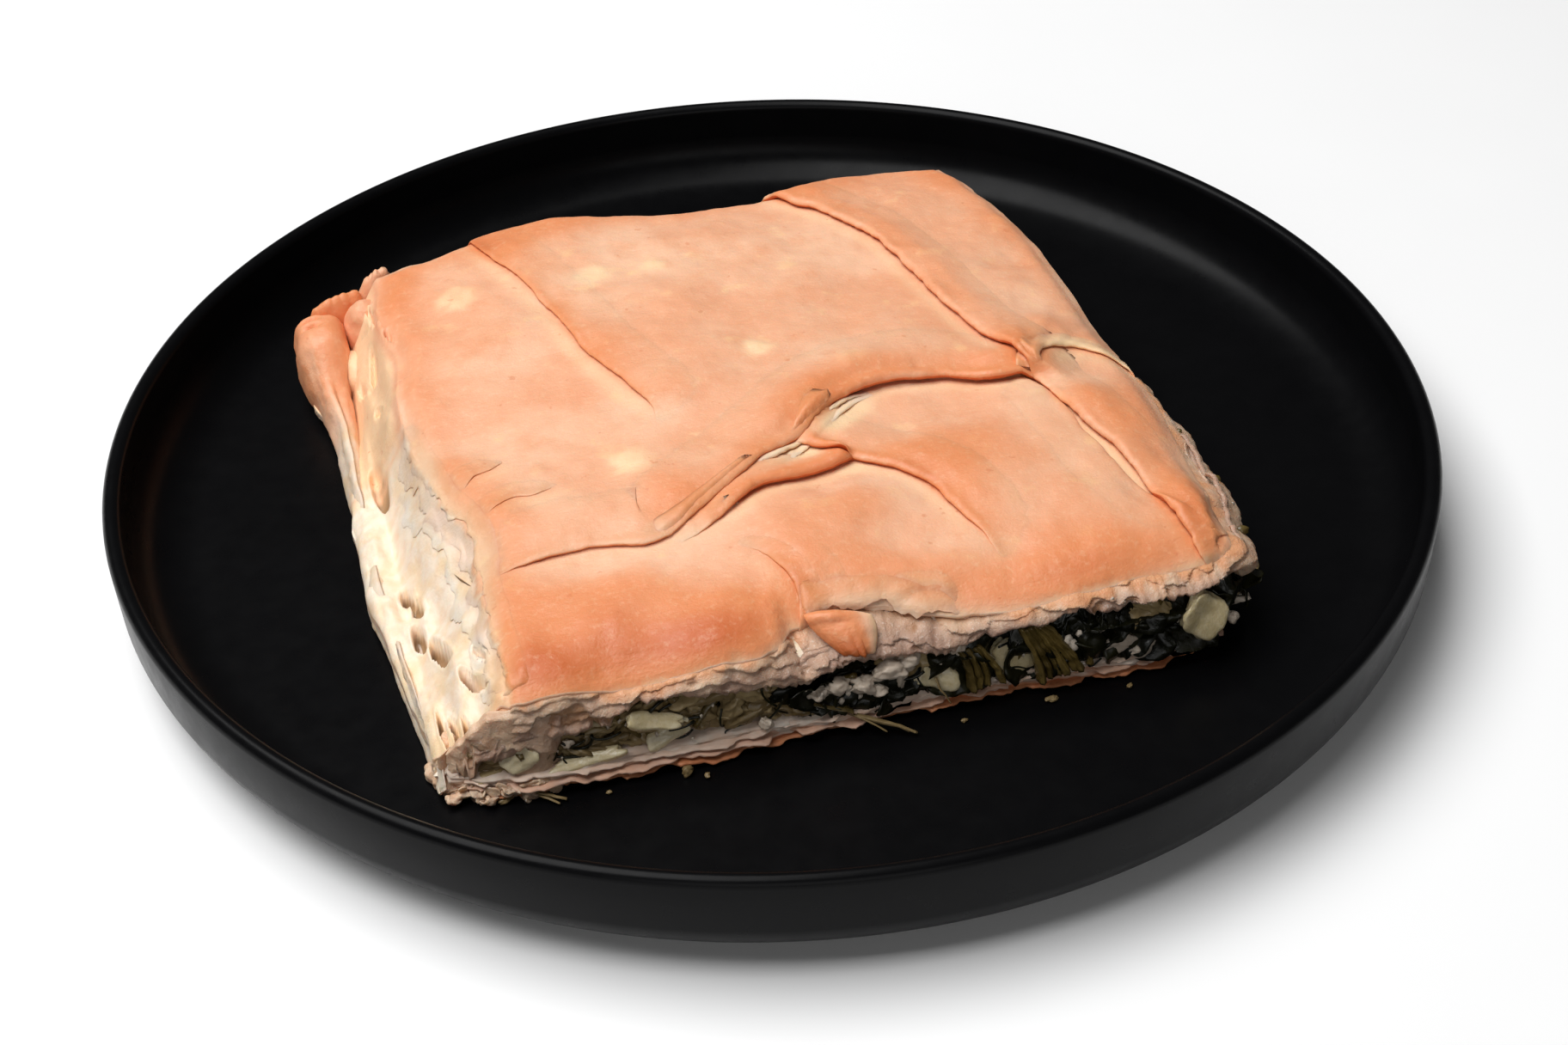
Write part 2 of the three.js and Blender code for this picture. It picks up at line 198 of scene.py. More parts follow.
def spline(points, steps):
    """Catmull-Rom curve through 2-D points, as steps + 1 points an equal way apart."""
    p = np.array(points, float)
    p = np.vstack([p[:1], p, p[-1:]])
    dense = []
    for a, b, c, d in zip(p[:-3], p[1:-2], p[2:-1], p[3:]):
        for t in np.linspace(0, 1, 24, endpoint=False):
            v0, v1 = (c - a) / 2, (d - b) / 2
            cubic = (2 * b - 2 * c + v0 + v1) * t**3 + (-3 * b + 3 * c - 2 * v0 - v1) * t**2
            dense.append(cubic + v0 * t + b)
    dense = np.array(dense + [p[-2]])
    along = np.concatenate([[0], np.cumsum(np.linalg.norm(np.diff(dense, axis=0), axis=1))])
    even = np.linspace(0, along[-1], steps + 1)
    return np.stack([np.interp(even, along, dense[:, axis]) for axis in range(dense.shape[1])], axis=1)


def beside(path, x, y):
    """Signed distance from a path, positive on its right, how far along it, and that side's direction."""
    nearest = np.full(x.shape, 1e9)
    side, along, out_x, out_y = (np.zeros(x.shape) for _ in range(4))
    steps = len(path) - 1
    for k in range(steps):
        (ax, ay), (dx, dy) = path[k], path[k + 1] - path[k]
        long2 = dx * dx + dy * dy
        t = np.clip(((x - ax) * dx + (y - ay) * dy) / long2, 0, 1)
        ox, oy = x - ax - t * dx, y - ay - t * dy
        away = np.hypot(ox, oy)
        near = away < nearest
        nearest = np.where(near, away, nearest)
        side = np.where(near, np.where(dx * oy - dy * ox > 0, -away, away), side)
        along = np.where(near, (k + t) / steps, along)
        out_x = np.where(near, dy / math.sqrt(long2), out_x)
        out_y = np.where(near, -dx / math.sqrt(long2), out_y)
    return side, along, out_x, out_y


# ------------------------------------------------------------------ folds of the top sheets
# Each fold is the free edge of an upper sheet, which lies on the right of the path's direction.
# lift: how high the sheet stands; thick: how thick its edge is.
# shoulder: how far behind the edge it has risen to its full height.
# reach: how far back it runs before it sinks into what it lies on.
# swell, spread: how much higher the whole top stands behind the edge, and how far that carries.
# gap: the height of the edge over what is under it; hang: how far the edge curls out.
# fade: share of the length over which each end dies out; torn: how ragged the edge is.
# brown, pale: how much browner or paler the edge is, with brown also painting shadow along and under the
# edge; wet: how much it looks like cut dough.
# taper: between which shares of the length the fold gets lower, and to what share of its height.
# under: how many of the folds before it the sheet lies on, if not all of them.
# tip: share of the length over which the reach grows from its start.
PLAIN_EDGE = dict(swell=0, spread=1, gap=0.1, hang=0.1, brown=0.0, pale=0.0, torn=0.0, wet=0.0,
                  taper=(0, 1, 1.0), under=None, tip=0)
FOLDS = [{**PLAIN_EDGE, **values} for values in (
    dict(lift=1.4, thick=1.0, shoulder=4.0, reach=11, swell=1.0, spread=22, hang=0.3, fade=(0.16, 0.05),
         brown=0.4,
         path=((-21.3, -13), (-20.9, -6), (-23.6, 2.5), (-26.7, 10.5), (-29, 18), (-31.6, 31),
               (-35.5, 45), (-39.7, 57.5), (-42, 66))),
    dict(lift=1.3, thick=1.1, shoulder=4.0, reach=9, swell=0.9, spread=12, gap=0.05, hang=0.3,
         fade=(0.2, 0.2), brown=0.25,
         path=((39, -9), (43, -17), (44.4, -25), (45.4, -33), (46.8, -41), (49.6, -48), (53.0, -53.5),
               (56, -58))),
    dict(lift=0.5, thick=0.3, shoulder=0.6, reach=3.4, fade=(0.3, 0.3), brown=-0.6, pale=0.8, torn=0.3,
         wet=0.5,
         path=((18, -11.0), (11.6, -13.4), (6.0, -18.0), (0.2, -23.6), (-5.6, -27.2), (-12.0, -30.6))),
    dict(lift=1.0, thick=0.35, shoulder=0.8, reach=3.4, gap=0.3, hang=0.2, fade=(0.3, 0.3), brown=-0.6,
         pale=0.8, torn=0.3, wet=0.4,
         path=((17, -10.2), (11.4, -12.4), (5.2, -17.0), (-0.4, -22.2), (-6.8, -25.8), (-13.0, -29.4))),
    dict(lift=3.3, thick=2.0, shoulder=6.6, reach=15, swell=2.4, spread=20, gap=0.5, hang=0.7,
         fade=(0.09, 0.09), brown=0.45, pale=0.1, torn=0.05, taper=(0.42, 0.68, 0.5), under=2,
         path=((48, -18), (42.5, -13.6), (35, -12.8), (28.4, -9.6), (22.7, -8.6), (16.4, -9),
               (10.6, -11.2), (4.4, -16.0), (-0.6, -20.2), (-7.0, -24.2), (-13.6, -28.6), (-19.4, -33.0),
               (-24.0, -36.6), (-29.4, -38.4), (-36.2, -36.6), (-44.3, -36.2), (-50, -36.8),
               (-55.6, -38.6))),
    dict(lift=2.5, thick=1.9, shoulder=3.0, reach=5.6, swell=0.8, spread=6, gap=0.2, hang=0.6,
         fade=(0.05, 0.5), brown=0.7,
         path=((7.6, -26.6), (4, -28.8), (-2.4, -29.8), (-9.3, -31.2), (-15.0, -34.4), (-21, -38.0),
               (-28, -40.8))),
    dict(lift=2.2, thick=1.3, shoulder=4.6, reach=11, swell=1.4, spread=12, gap=0.15, hang=0.6,
         fade=(0.4, 0.08), brown=0.6,
         path=((23.6, -60), (22.5, -54), (21.2, -48.5), (19.2, -42.4), (17, -36.6), (14.2, -32.8),
               (10.6, -29.6), (7.2, -27.0), (3.8, -24.6), (0.4, -21.6), (-1.6, -20.6))),
    dict(lift=1.2, thick=0.7, shoulder=5.6, reach=10, swell=1.3, spread=10, gap=0.0, hang=0.2,
         fade=(0.12, 0.7), brown=0.3, torn=0.1,
         path=((-11.6, -63), (-10.3, -58.6), (-10.0, -54), (-11.8, -48.8), (-15.8, -44), (-21, -42.4))),
    dict(lift=0.4, thick=0.3, shoulder=1.0, reach=4.0, swell=0.3, spread=4, fade=(0.3, 0.3), brown=-0.3,
         pale=0.5, torn=0.2,
         path=((14.4, -62.8), (11, -60.6), (6.9, -59.8), (3.2, -60.6), (0.6, -62.4))),
    dict(lift=0.4, thick=0.3, shoulder=1.6, reach=5, swell=0.25, spread=4, gap=0.0, fade=(0.4, 0.3),
         brown=0.1, torn=0.1,
         path=((-38, -20), (-44, -22), (-48, -21.5), (-54, -25))),
    dict(lift=0.4, thick=0.3, shoulder=1.6, reach=5, swell=0.25, spread=4, gap=0.0, fade=(0.4, 0.4),
         brown=0.1, torn=0.2,
         path=((-46, -9), (-50, -12), (-53, -13), (-56, -17))),
    dict(lift=2.3, thick=1.2, shoulder=4.0, reach=10, swell=1.5, spread=16, gap=0.3, hang=0.6,
         fade=(0.14, 0.03), brown=0.2, pale=0.1, torn=0.3, tip=0.10,
         path=((60.5, -58), (59.6, -61.4), (57.0, -63.6), (54.0, -62.4), (53.0, -59), (52.2, -54),
               (50.8, -49), (49.8, -41), (47.4, -31), (44.6, -21), (42.6, -13.7), (40.0, -6), (37.1, 3),
               (35, 14), (33.0, 26.5), (30.0, 38), (23.8, 50), (17.4, 59.5), (13, 66))),
    dict(lift=1.0, thick=0.6, shoulder=1.4, reach=4, swell=0.6, spread=8, gap=0.2, hang=0.3,
         fade=(0.06, 0.10), brown=-0.2, pale=1.0, torn=0.1,
         path=((63, -14), (58.4, -9.9), (52.5, -7), (47.5, -8.2), (44.5, -11.2), (43.6, -13.6))),
)]

# Where the top is toasted darker: place, half widths, strength. The two strong rows on the front left, whose
# skin slopes down towards the front away from the light, are partly painted shade.
TOASTED_AND_SHADED = (
    (-38, -52, 14, 9, 0.85), (-24, -32, 7, 5, 0.5), (-44, -45, 8, 6, 0.3), (2, -40, 12, 6, 0.3),
    (20, -28, 9, 12, 0.45), (34, -32, 14, 12, 0.4), (8, -14, 12, 5, 0.25), (44, 20, 10, 22, -0.15),
    (56, -35, 6, 22, -0.1), (-36, 57, 9, 5, 0.5), (-36, -63, 22, 6, 1.4), (4, -50, 16, 8, 0.1),
    (-52, -56, 6, 6, 0.2), (32, -63, 24, 5, 1.0), (-44, 28, 8, 6, 0.25), (12, 30, 16, 10, 0.2),
    (-12, -56, 9, 6, 0.55), (30, -55, 14, 6, 0.25), (-58, 50, 6, 12, 0.4), (-61.8, 31, 1.6, 9, 0.5),
    (-65.4, 30, 1.2, 8, 0.35),
)
# Broad swellings of the top: place, half widths, height.
SWELLS = (
    (-2, -40, 17, 8, 1.3), (-38, -50, 16, 10, 0.8), (30, -34, 10, 16, 0.9), (-36, -28, 14, 6, 0.8),
    (-48, 30, 8, 24, 0.5), (0, 20, 22, 26, 0.5), (-2, -24.6, 9, 3, 0.6),
)
# The skin's torn edge over the left slope and the sheets under it: how far out of the skin's edge each
# ends, how much that wanders, and the same values as for the folds.
SLOPE_SHEETS = [{**PLAIN_EDGE, **values} for values in (
    dict(inset=-4.0, wander=1.0, lift=0.35, thick=0.3, shoulder=1.8, reach=4.0, gap=0.0,
         fade=(0.05, 0.5), torn=0.8),
    dict(inset=-2.2, wander=1.2, lift=0.4, thick=0.3, shoulder=1.8, reach=4.0, gap=0.0,
         fade=(0.05, 0.25), torn=0.8),
    dict(inset=-0.3, wander=0.4, lift=0.5, thick=0.45, shoulder=1.4, reach=4.0, gap=0.0, hang=0.2,
         fade=(0.02, 0.2), pale=0.4, torn=0.6),
)]

# Where the torn front edge of the skin curls up: the ends of that stretch, how far behind the edge it lies.
EDGE_SHEETS = [{**PLAIN_EDGE, **values} for values in (
    dict(ends=(15, -10), behind=0.3, lift=0.6, thick=0.35, shoulder=1.0, reach=4.0, gap=0.4, hang=0.3,
         fade=(0.25, 0.1), brown=0.2, pale=0.2, torn=0.35),
)]

# Blisters, paler than the skin round them: place, radius.
BLISTERS = (
    (-22.3, 39.1, 4.5), (-11.4, 38.7, 3.5), (-0.5, 6.3, 4), (-47, 41, 5), (14, -4, 4), (-28, -19, 5),
)
# Pockets in the left slope: place, half width across and along their own length, turn, depth.
POCKETS = (
    (-66.6, -22, 1.0, 2.2, 14, 2.2), (-65.4, -27, 1.0, 2.3, 8, 2.4), (-66.2, -33.5, 1.2, 2.7, 8, 2.4),
    (-63.8, -40.5, 1.2, 4.4, 10, 3.2), (-60.2, -54, 1.2, 2.9, 24, 5.0), (-66.0, -57.0, 0.6, 3.2, 4, 3.0),
    (-64.3, -59.8, 0.6, 3.2, 6, 3.0), (-62.6, -62.0, 0.6, 2.6, 8, 2.6), (-58.4, -50, 0.6, 1.8, 20, 1.8),
    (-64.3, 22.4, 0.9, 1.4, 10, 1.4), (-63.4, 36, 0.8, 3.4, -6, 1.8), (-64.0, 46.4, 0.5, 2.4, 62, 1.8),
    (-59.9, 36.4, 0.5, 1.8, 14, 1.8), (-66.8, 8, 1.6, 5.0, 6, 1.6), (-66.0, 35.5, 0.5, 2.6, 10, 1.4),
    (-61.9, 47, 0.45, 3.6, 6, 1.4),
)
# Soft swellings of the left slope: place, half widths, height.
DOMES = (
    (-63.0, -49.5, 2.6, 3.6, 1.3), (-60.0, -30, 2.0, 4.5, 0.7), (-65.6, 42.6, 1.8, 4.6, 1.6),
    (-63.0, 50.5, 2.0, 3.6, 1.8), (-61.8, 31.0, 1.3, 9.0, 1.7), (-64.2, 14, 1.3, 4.0, 0.9),
    (-60.4, 44, 1.2, 4.0, 0.8), (-65.6, 30, 1.2, 8.0, 1.5), (-63.6, 16.5, 1.0, 4.0, 0.8),
    (-67.4, 20, 0.9, 6.0, 0.9),
)


def knob_share(y):
    """How far, from 0 to 1, the rim has become the knob at its back end."""
    return smooth(y, 38, 49)


def baked_share(y):
    """How far, from 0 to 1, the rim has become the browned roll behind."""
    return smooth(y, ROLL_START + 6, ROLL_START + 28)


def rim_outer(y):
    """Where the turned-up rim ends on the left."""
    outer = RIM_OUTER + 4.5 * smooth(-y, 15, 66) + noises(y, 4, (0.7, 10, 32), (0.25, 4, 33))
    return outer - 1.2 * baked_share(y) - 1.6 * knob_share(y)


def slope_end(y):
    """Where the left slope ends: over the rim's outer side in front, inside the roll behind."""
    return rim_outer(y) + mix(0.3, 1.6, smooth(y, 4, 20))


def slope_roll(x, y):
    """How far, from 0 to 1, the slope has rolled down by its outer end."""
    share = np.clip((x - slope_end(y)) / 2.4, 0, 1)
    return (1 - np.sqrt(1 - (1 - share) ** 2)) * (1 - 0.6 * smooth(y, 4, 20)) * (1 - smooth(y, 20, 34))


def skin_left(y):
    """Where the skin ends and the torn left slope begins."""
    return LEFT + 1.5 * noise(y, 0, 14, 3) + 3.5 * smooth(-y, -10, 30)


def fold_ends(fold, along):
    """How much of a fold is left, from 0 to 1, at shares of its length."""
    start, end = fold["fade"]
    low, high, left = fold["taper"]
    return smooth(along, 0, start) * smooth(1 - along, 0, end) * mix(1.0, left, smooth(along, low, high))


def fold_swell(fold, side, ends):
    """How much higher the top stands behind a fold's edge."""
    return fold["swell"] * ends * smooth(side, 0.5, 4) * bell(np.maximum(side - 4, 0) / fold["spread"])


def fold_cover(fold, x, y):
    """A fold's swell, the height its sheet adds to what lies over it, the pale tint before its edge, and the
    painted shadow along its edge.
    """
    side, along, _, _ = beside(fold["points"], x, y)
    ends = fold_ends(fold, along)
    swell = fold_swell(fold, side, ends)
    cover = (fold["lift"] * ends - swell) * smooth(side, -0.5, 0.9) * (1 - smooth(side, 0, fold["reach"]))
    shade = ends * bell((side + 2.0) / 2.0) * (side < 0.5)
    # edge_shadow paints a browner shadow line along the fold's edge, where its lip shades what lies under it.
    edge_shadow = max(fold["brown"], 0) * ends * bell(side / 1.1)
    return swell, cover, shade, edge_shadow


def blurred(field, pitch, width):
    """A grid of values smoothed over a width in millimetres."""
    rows, columns = field.shape
    wide = np.pad(field, ((rows // 4,) * 2, (columns // 4,) * 2), mode="edge")
    fy, fx = (np.fft.fftfreq(n, pitch) for n in wide.shape)
    keep = np.exp(-2 * (math.pi * width) ** 2 * (fy[:, None] ** 2 + fx[None, :] ** 2))
    soft = np.fft.ifft2(np.fft.fft2(wide) * keep).real
    return soft[rows // 4:rows // 4 + rows, columns // 4:columns // 4 + columns]


# The toasted places are worked out once, on a grid of 1 mm from TOAST_LOW in both directions.
TOAST_LOW, TOAST_SIZE = -78.0, 156
TOAST_FLOOR = 20.5
toast_map = []


def toasted(x, y):
    """How much browner the top is where it stands proud of what is round it."""
    if not toast_map:
        at = TOAST_LOW + np.arange(TOAST_SIZE + 1.0)
        height = np.maximum(top_sheet(*np.meshgrid(at, at), len(FOLDS))[0], TOAST_FLOOR)
        toast_map.append(0.5 * (blurred(height, 1.0, 1.5) - blurred(height, 1.0, 7)))
    grid = toast_map[0]
    u, v = (np.clip(value - TOAST_LOW, 0, TOAST_SIZE - 0.001) for value in (x, y))
    i, j = u.astype(int), v.astype(int)
    near, far = (mix(grid[row, i], grid[row, i + 1], u - i) for row in (j, j + 1))
    return mix(near, far, v - j)


def inside_cuts(x, y):
    """How far a place is inside the skin's front edge, and inside its right and back edges."""
    return y - through(FRONT_EDGE, x), np.minimum(through(RIGHT_EDGE, y) - x, through(BACK_EDGE, x) - y)


def skin_height(x, y):
    """The baked skin: a low crown with soft swellings, rolled down at its edges."""
    in_front, in_side = inside_cuts(x, y)
    inside = np.minimum(x - skin_left(y), in_side)
    u = (x - (LEFT + RIGHT) / 2) / ((RIGHT - LEFT) / 2)
    v = (y - (FRONT + BACK) / 2) / ((BACK - FRONT) / 2)
    crown = CROWN * (1 - np.clip(u * u, 0, 1)) * np.sqrt(1 - np.clip(v * v, 0, 1))
    roll = EDGE_DROP * (1 - smooth(inside, 0, EDGE_ROLL + 1)) ** 2
    roll = np.maximum(roll, (EDGE_DROP + 1.0) * (1 - np.clip(in_front / 9, 0, 1)) ** 2.4)
    z = EDGE_HEIGHT + crown - roll + noises(x, y, (0.8, 21, 5), (0.4, 8, 6))
    uneven = 0.5 * noise(x, y, 13, 67) + 0.55 * noise(x, y, 10, 70) * smooth(x, -8, 12) * smooth(y, 6, -12)
    z = z + uneven * smooth(inside, 0, 8) - 2.5 * np.clip(-np.minimum(in_front, in_side), 0, 1.5)
    return z + hills(x, y, SWELLS)


def slope_fall(x, y, beyond):
    """How much lower the left slope lies than the skin, down to its heel and its rolled outer end."""
    fall = (EDGE_HEIGHT - SLOPE_LOW) / (skin_left(y) - SLOPE_HEEL)
    past_heel = np.maximum(SLOPE_HEEL - x, 0)
    behind = smooth(y, 12, 34)
    level_out = (fall - 0.12) * past_heel * (1 - behind) - 1.2 * past_heel * behind
    return fall * beyond - level_out - 0.5 * noise(x, y, 7, 8) * smooth(beyond, 0, 2) + 2.4 * slope_roll(x, y)


def pocket_at(x, y, place_x, place_y, wide, long, turn):
    """How far, from 0 to 1, a place is in a pocket of the slope, and how far on its raised rim."""
    a = math.radians(turn)
    across = (x - place_x) * math.cos(a) + (y - place_y) * math.sin(a)
    down = (y - place_y) * math.cos(a) - (x - place_x) * math.sin(a)
    reach = np.hypot(across / (0.85 * wide), down / (1.35 * long)) + 0.16 * noise(x, y, 2.5, 63)
    return 1 - smooth(reach, 0.7, 1.0), bell((reach - 1.15) / 0.2)


def slope_grain(x, y, beyond):
    """The torn dough of the left slope's front half: lumps, strands and a lower start at the skin."""
    bare = smooth(beyond, 0.1, 1.5) * (1 - smooth(y, 4, 24))
    lumps = 0.9 * noise(x * 1.5, y * 0.6, 3.6, 80) * smooth(y, 10, -10)
    strands = 0.5 * np.abs(noise(x, y * 0.4, 2.4, 77))
    return bare * (lumps + 0.55 * rough(x, y * 0.7, 4.2, 76, 4) + strands - 0.3)


def top_sheet(x, y, under=0):
    """The top of the slice over (x, y), without its folds but for the first few: height and tints."""
    left = skin_left(y)
    beyond = np.maximum(left - x, 0)
    on_slope = smooth(beyond, 0, 2)
    z = skin_height(x, y) - slope_fall(x, y, beyond)
    z = np.where(beyond > 0, np.maximum(z, 8.5), z)
    pale = np.zeros(x.shape)
    brown = hills(x, y, TOASTED_AND_SHADED) + 0.75 * on_slope * smooth(-y, 8, 40) * (0.7 + 0.5 * noise(x, y, 5, 82))
    for k, fold in enumerate(FOLDS):
        swell, cover, shade, edge_shadow = fold_cover(fold, x, y)
        z, pale, brown = z + swell + (cover if k < under else 0), pale + 0.5 * shade, brown + edge_shadow
    for place_x, place_y, radius in BLISTERS:
        near = hill(x, y, place_x, place_y, math.sqrt(0.5) * radius, math.sqrt(0.5) * radius)
        near = near * (1 + 0.5 * noise(x, y, 1.4, 59))
        z, pale = z + 0.4 * near, pale + 1.1 * near
    # hollow is painted shade, darkest in the slope's pockets.
    z, hollow = z + hills(x, y, DOMES), np.zeros(x.shape)
    for *shape, depth in POCKETS:
        pocket, raised = pocket_at(x, y, *shape)
        z, hollow = z - depth * pocket + 0.35 * raised, np.maximum(hollow, pocket)
    ripple = 0.16 * rough(x, y, 5.0, 64) + 0.05 * rough(x, y * 0.35, 1.6, 65, 3)
    z = z + ripple * (1 - on_slope) + 0.2 * rough(x, y, 3.0, 66) * on_slope + slope_grain(x, y, beyond)

    ragged_edge = noises(y, 0, (0.6, 4.1, 61), (0.5, 1.6, 62)) + 0.3 * noise(x, y, 0.8, 79)
    cut = smooth(x + ragged_edge, left + 0.1, left - 0.5) * (1 - smooth(y + 5 * ragged_edge, 2, 15))
    z = z - 0.45 * cut * (1 - smooth(beyond, 0.5, 3.5))
    behind = smooth(y, 0, 15)
    pale = np.maximum(pale + 0.8 * on_slope * behind, on_slope * (1 - behind))
    cut = cut * mix(0.55, 1.0, smooth(beyond + noise(x, y, 3.4, 78), 0.5, 4.5))

    in_front, in_side = inside_cuts(x, y)
    torn = np.minimum(in_front, in_side + 1.5) + 0.5 + noises(x, y, (0.5, 3.1, 68), (0.4, 1.0, 69))
    z = z - 0.35 * smooth(torn, 0.8, 0.0)
    cut = np.maximum(cut, 0.45 * smooth(torn, 0.6, -0.1))
    return z, dict(brown=brown, pale=pale + 0.35 * smooth(torn, 1.8, 0.3), cut=cut, hollow=hollow)


def upper_interface(x, y):
    """Height of the upper crust's lower face."""
    front = 1 - smooth(y - FRONT, 0, DRAG_WIDTH)
    back = 1 - smooth(BACK - y, 0, DRAG_WIDTH)
    behind = BACK_LEVEL + 2.2 * noise(x, 0, 19, 11)
    level = INNER_LEVEL + front * (through(FRONT_DRAG, x) - INNER_LEVEL) + back * (behind - INNER_LEVEL)
    left = 1 - smooth(x, LEFT + 1, LEFT + 12)
    return BASE + mix(level, np.minimum(level, 7), left)


def lower_interface(x, y):
    """Height of the lower crust's upper face."""
    return BASE + LOWER_CRUST + 0.4 * noise(x, y, 15, 13)


# ------------------------------------------------------------------ meshes
def facing_out(points, faces):
    """The faces of a closed shape, all turned over if they look inwards."""
    volume = 0.0
    for group in faces:
        a, b, c = (points[group[:, k]] for k in (0, 1, 2))
        volume += np.einsum("ij,ij->i", a, np.cross(b, c)).sum()
        if group.shape[1] == 4:
            volume += np.einsum("ij,ij->i", a, np.cross(c, points[group[:, 3]])).sum()
    return faces if volume > 0 else [group[:, ::-1] for group in faces]


def make_piece(name, points, faces, material, slot, **attributes):
    """A mesh object from points in millimetres, riding on the one body."""
    mesh = bpy.data.meshes.new(name)
    faces = facing_out(np.asarray(points), [np.asarray(group) for group in faces])
    polygons = [polygon for group in faces for polygon in group.tolist()]
    mesh.from_pydata((np.asarray(points) * MM).tolist(), [], polygons)
    mesh.polygons.foreach_set("use_smooth", np.ones(len(polygons), bool))
    for key, values in attributes.items():
        layer = mesh.attributes.new(key, "FLOAT", "POINT")
        layer.data.foreach_set("value", np.asarray(values, np.float32).ravel())
    mesh.materials.append(material)
    mesh.update()
    piece = bpy.data.objects.new(name, mesh)
    bpy.context.scene.collection.objects.link(piece)
    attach(piece, "root")
    return piece


def grid_faces(columns, rows, start=0):
    """Quads of a grid of (rows + 1) x (columns + 1) points, facing up when rows run along +Y."""
    i, j = np.meshgrid(np.arange(columns), np.arange(rows))
    a = start + (j * (columns + 1) + i).ravel()
    return np.stack([a, a + 1, a + columns + 2, a + columns + 1], axis=1)


def band_faces(upper, lower):
    """Quads between two closed rings of point numbers, facing out when they run anticlockwise."""
    return np.stack([upper, lower, np.roll(lower, -1), np.roll(upper, -1)], axis=1)


def grid_border(columns, rows):
    """Point numbers round a grid, anticlockwise."""
    at = np.arange((rows + 1) * (columns + 1)).reshape(rows + 1, columns + 1)
    return np.concatenate([at[0, :-1], at[:-1, -1], at[-1, :0:-1], at[:0:-1, 0]])


def outward(ring, spread=6):
    """Directions out of a closed ring of points, evened out over a few neighbours."""
    tangent = np.roll(ring, -spread, axis=0) - np.roll(ring, spread, axis=0)
    out = np.stack([tangent[:, 1], -tangent[:, 0]], axis=1)
    return out / np.linalg.norm(out, axis=1, keepdims=True)


def closed_stack(rings):
    """Points and faces of rings stacked from the top down, with a fan over each end."""
    count = len(rings[0])
    points = np.concatenate(rings + [rings[0].mean(0, keepdims=True), rings[-1].mean(0, keepdims=True)])
    numbers = np.arange(count * len(rings)).reshape(len(rings), count)
    faces = [band_faces(numbers[k], numbers[k + 1]) for k in range(len(rings) - 1)]
    top, bottom = len(points) - 2, len(points) - 1
    first, last = numbers[0], numbers[-1]
    faces.append(np.stack([first, np.roll(first, -1), np.full(count, top)], axis=1))
    faces.append(np.stack([np.roll(last, -1), last, np.full(count, bottom)], axis=1))
    return points, faces


def closed_strip(lines):
    """Points and faces of a closed shape from the lines that run along it, in order round it."""
    return closed_stack(list(np.stack(lines, axis=1)))


def strip_tint(lines, ends, most=1.0):
    """One tint for each point of a closed strip, and one for the middle of either end."""
    return np.concatenate([np.clip(np.stack(lines, axis=1).ravel(), 0, most), [ends, ends]])


def ring_at(place, out, push, z):
    """A ring of 3-D points: places moved outwards, each at its height."""
    moved = place + out * np.reshape(push, (-1, 1))
    return np.column_stack([moved, np.broadcast_to(z, len(place))])


class Heap:
    """Many small closed shapes gathered into one mesh."""

    def __init__(self):
        self.points, self.faces, self.tints, self.layers, self.count = [], [], [], {}, 0

    def add(self, points, faces, tint):
        """One more closed shape, with one tint all over."""
        self.points.append(points)
        faces = facing_out(points, [np.asarray(group) for group in faces])
        self.faces += [group + self.count for group in faces]
        self.tints.append(np.full(len(points), float(tint)))
        self.count += len(points)

    def finish(self, name, material, slot):
        """The one mesh, with the layers of values given to it, or else the shapes' tints."""
        points = np.concatenate(self.points)
        layers = self.layers or {"tint": self.tints}
        joined = {key: np.concatenate(values) for key, values in layers.items()}
        return make_piece(name, points, self.faces, material, slot, **joined)


def turned(points, axes, place):
    """Points whose own x, y, z run along the three rows of axes, moved to a place."""
    return points @ np.asarray(axes, float) + np.asarray(place, float)


def axes_from(forward, up):
    """Three unit rows: forward, sideways, and up as near as it can be."""
    forward = np.array(forward, float) / np.linalg.norm(forward)
    sideways = np.cross(up, forward)
    sideways /= np.linalg.norm(sideways)
    return np.array([forward, sideways, np.cross(forward, sideways)])


def icosphere(level):
    """Points and faces of a ball of radius 1, finer with each level."""
    shape = bmesh.new()
    bmesh.ops.create_icosphere(shape, subdivisions=level, radius=1.0)
    points = np.array([v.co for v in shape.verts])
    faces = np.array([[v.index for v in f.verts] for f in shape.faces])
    shape.free()
    return points, faces


SPHERE = {level: icosphere(level) for level in (2, 3, 4, 5)}


def lump(size, seed, level=3, bumps=0.35, square=2.0):
    """A closed lump: an ellipsoid, boxier as square grows, with rough bumps."""
    points, faces = SPHERE[level]
    radius = (np.abs(points) ** square).sum(1, keepdims=True) ** (-1 / square)
    shaped = points * radius
    swell = 1 + bumps * rough3(points + 7.3 * seed, 0.9, seed)[:, None]
    return shaped * swell * np.array(size), [faces]


def sheet(surface, thickness):
    """A closed thin solid on a grid of points (rows, columns, 3), thick along its normals."""
    down = np.gradient(surface, axis=0)
    across = np.gradient(surface, axis=1)
    normal = np.cross(across, down)
    normal /= np.linalg.norm(normal, axis=2, keepdims=True) + 1e-9
    rows, columns = surface.shape[0] - 1, surface.shape[1] - 1
    half = np.broadcast_to(np.asarray(thickness, float) / 2, surface.shape[:2])[..., None]
    over, under = (surface + normal * half).reshape(-1, 3), (surface - normal * half).reshape(-1, 3)
    border = grid_border(columns, rows)
    faces = [grid_faces(columns, rows), grid_faces(columns, rows, len(over))[:, ::-1]]
    faces.append(band_faces(border, border + len(over)))
    return np.concatenate([over, under]), faces


# How rough tubes are: share of their radius, size of the lumps, seed, and how far apart their noises lie.
TUBE_RUB = (0.22, 1.1, 97, 50)


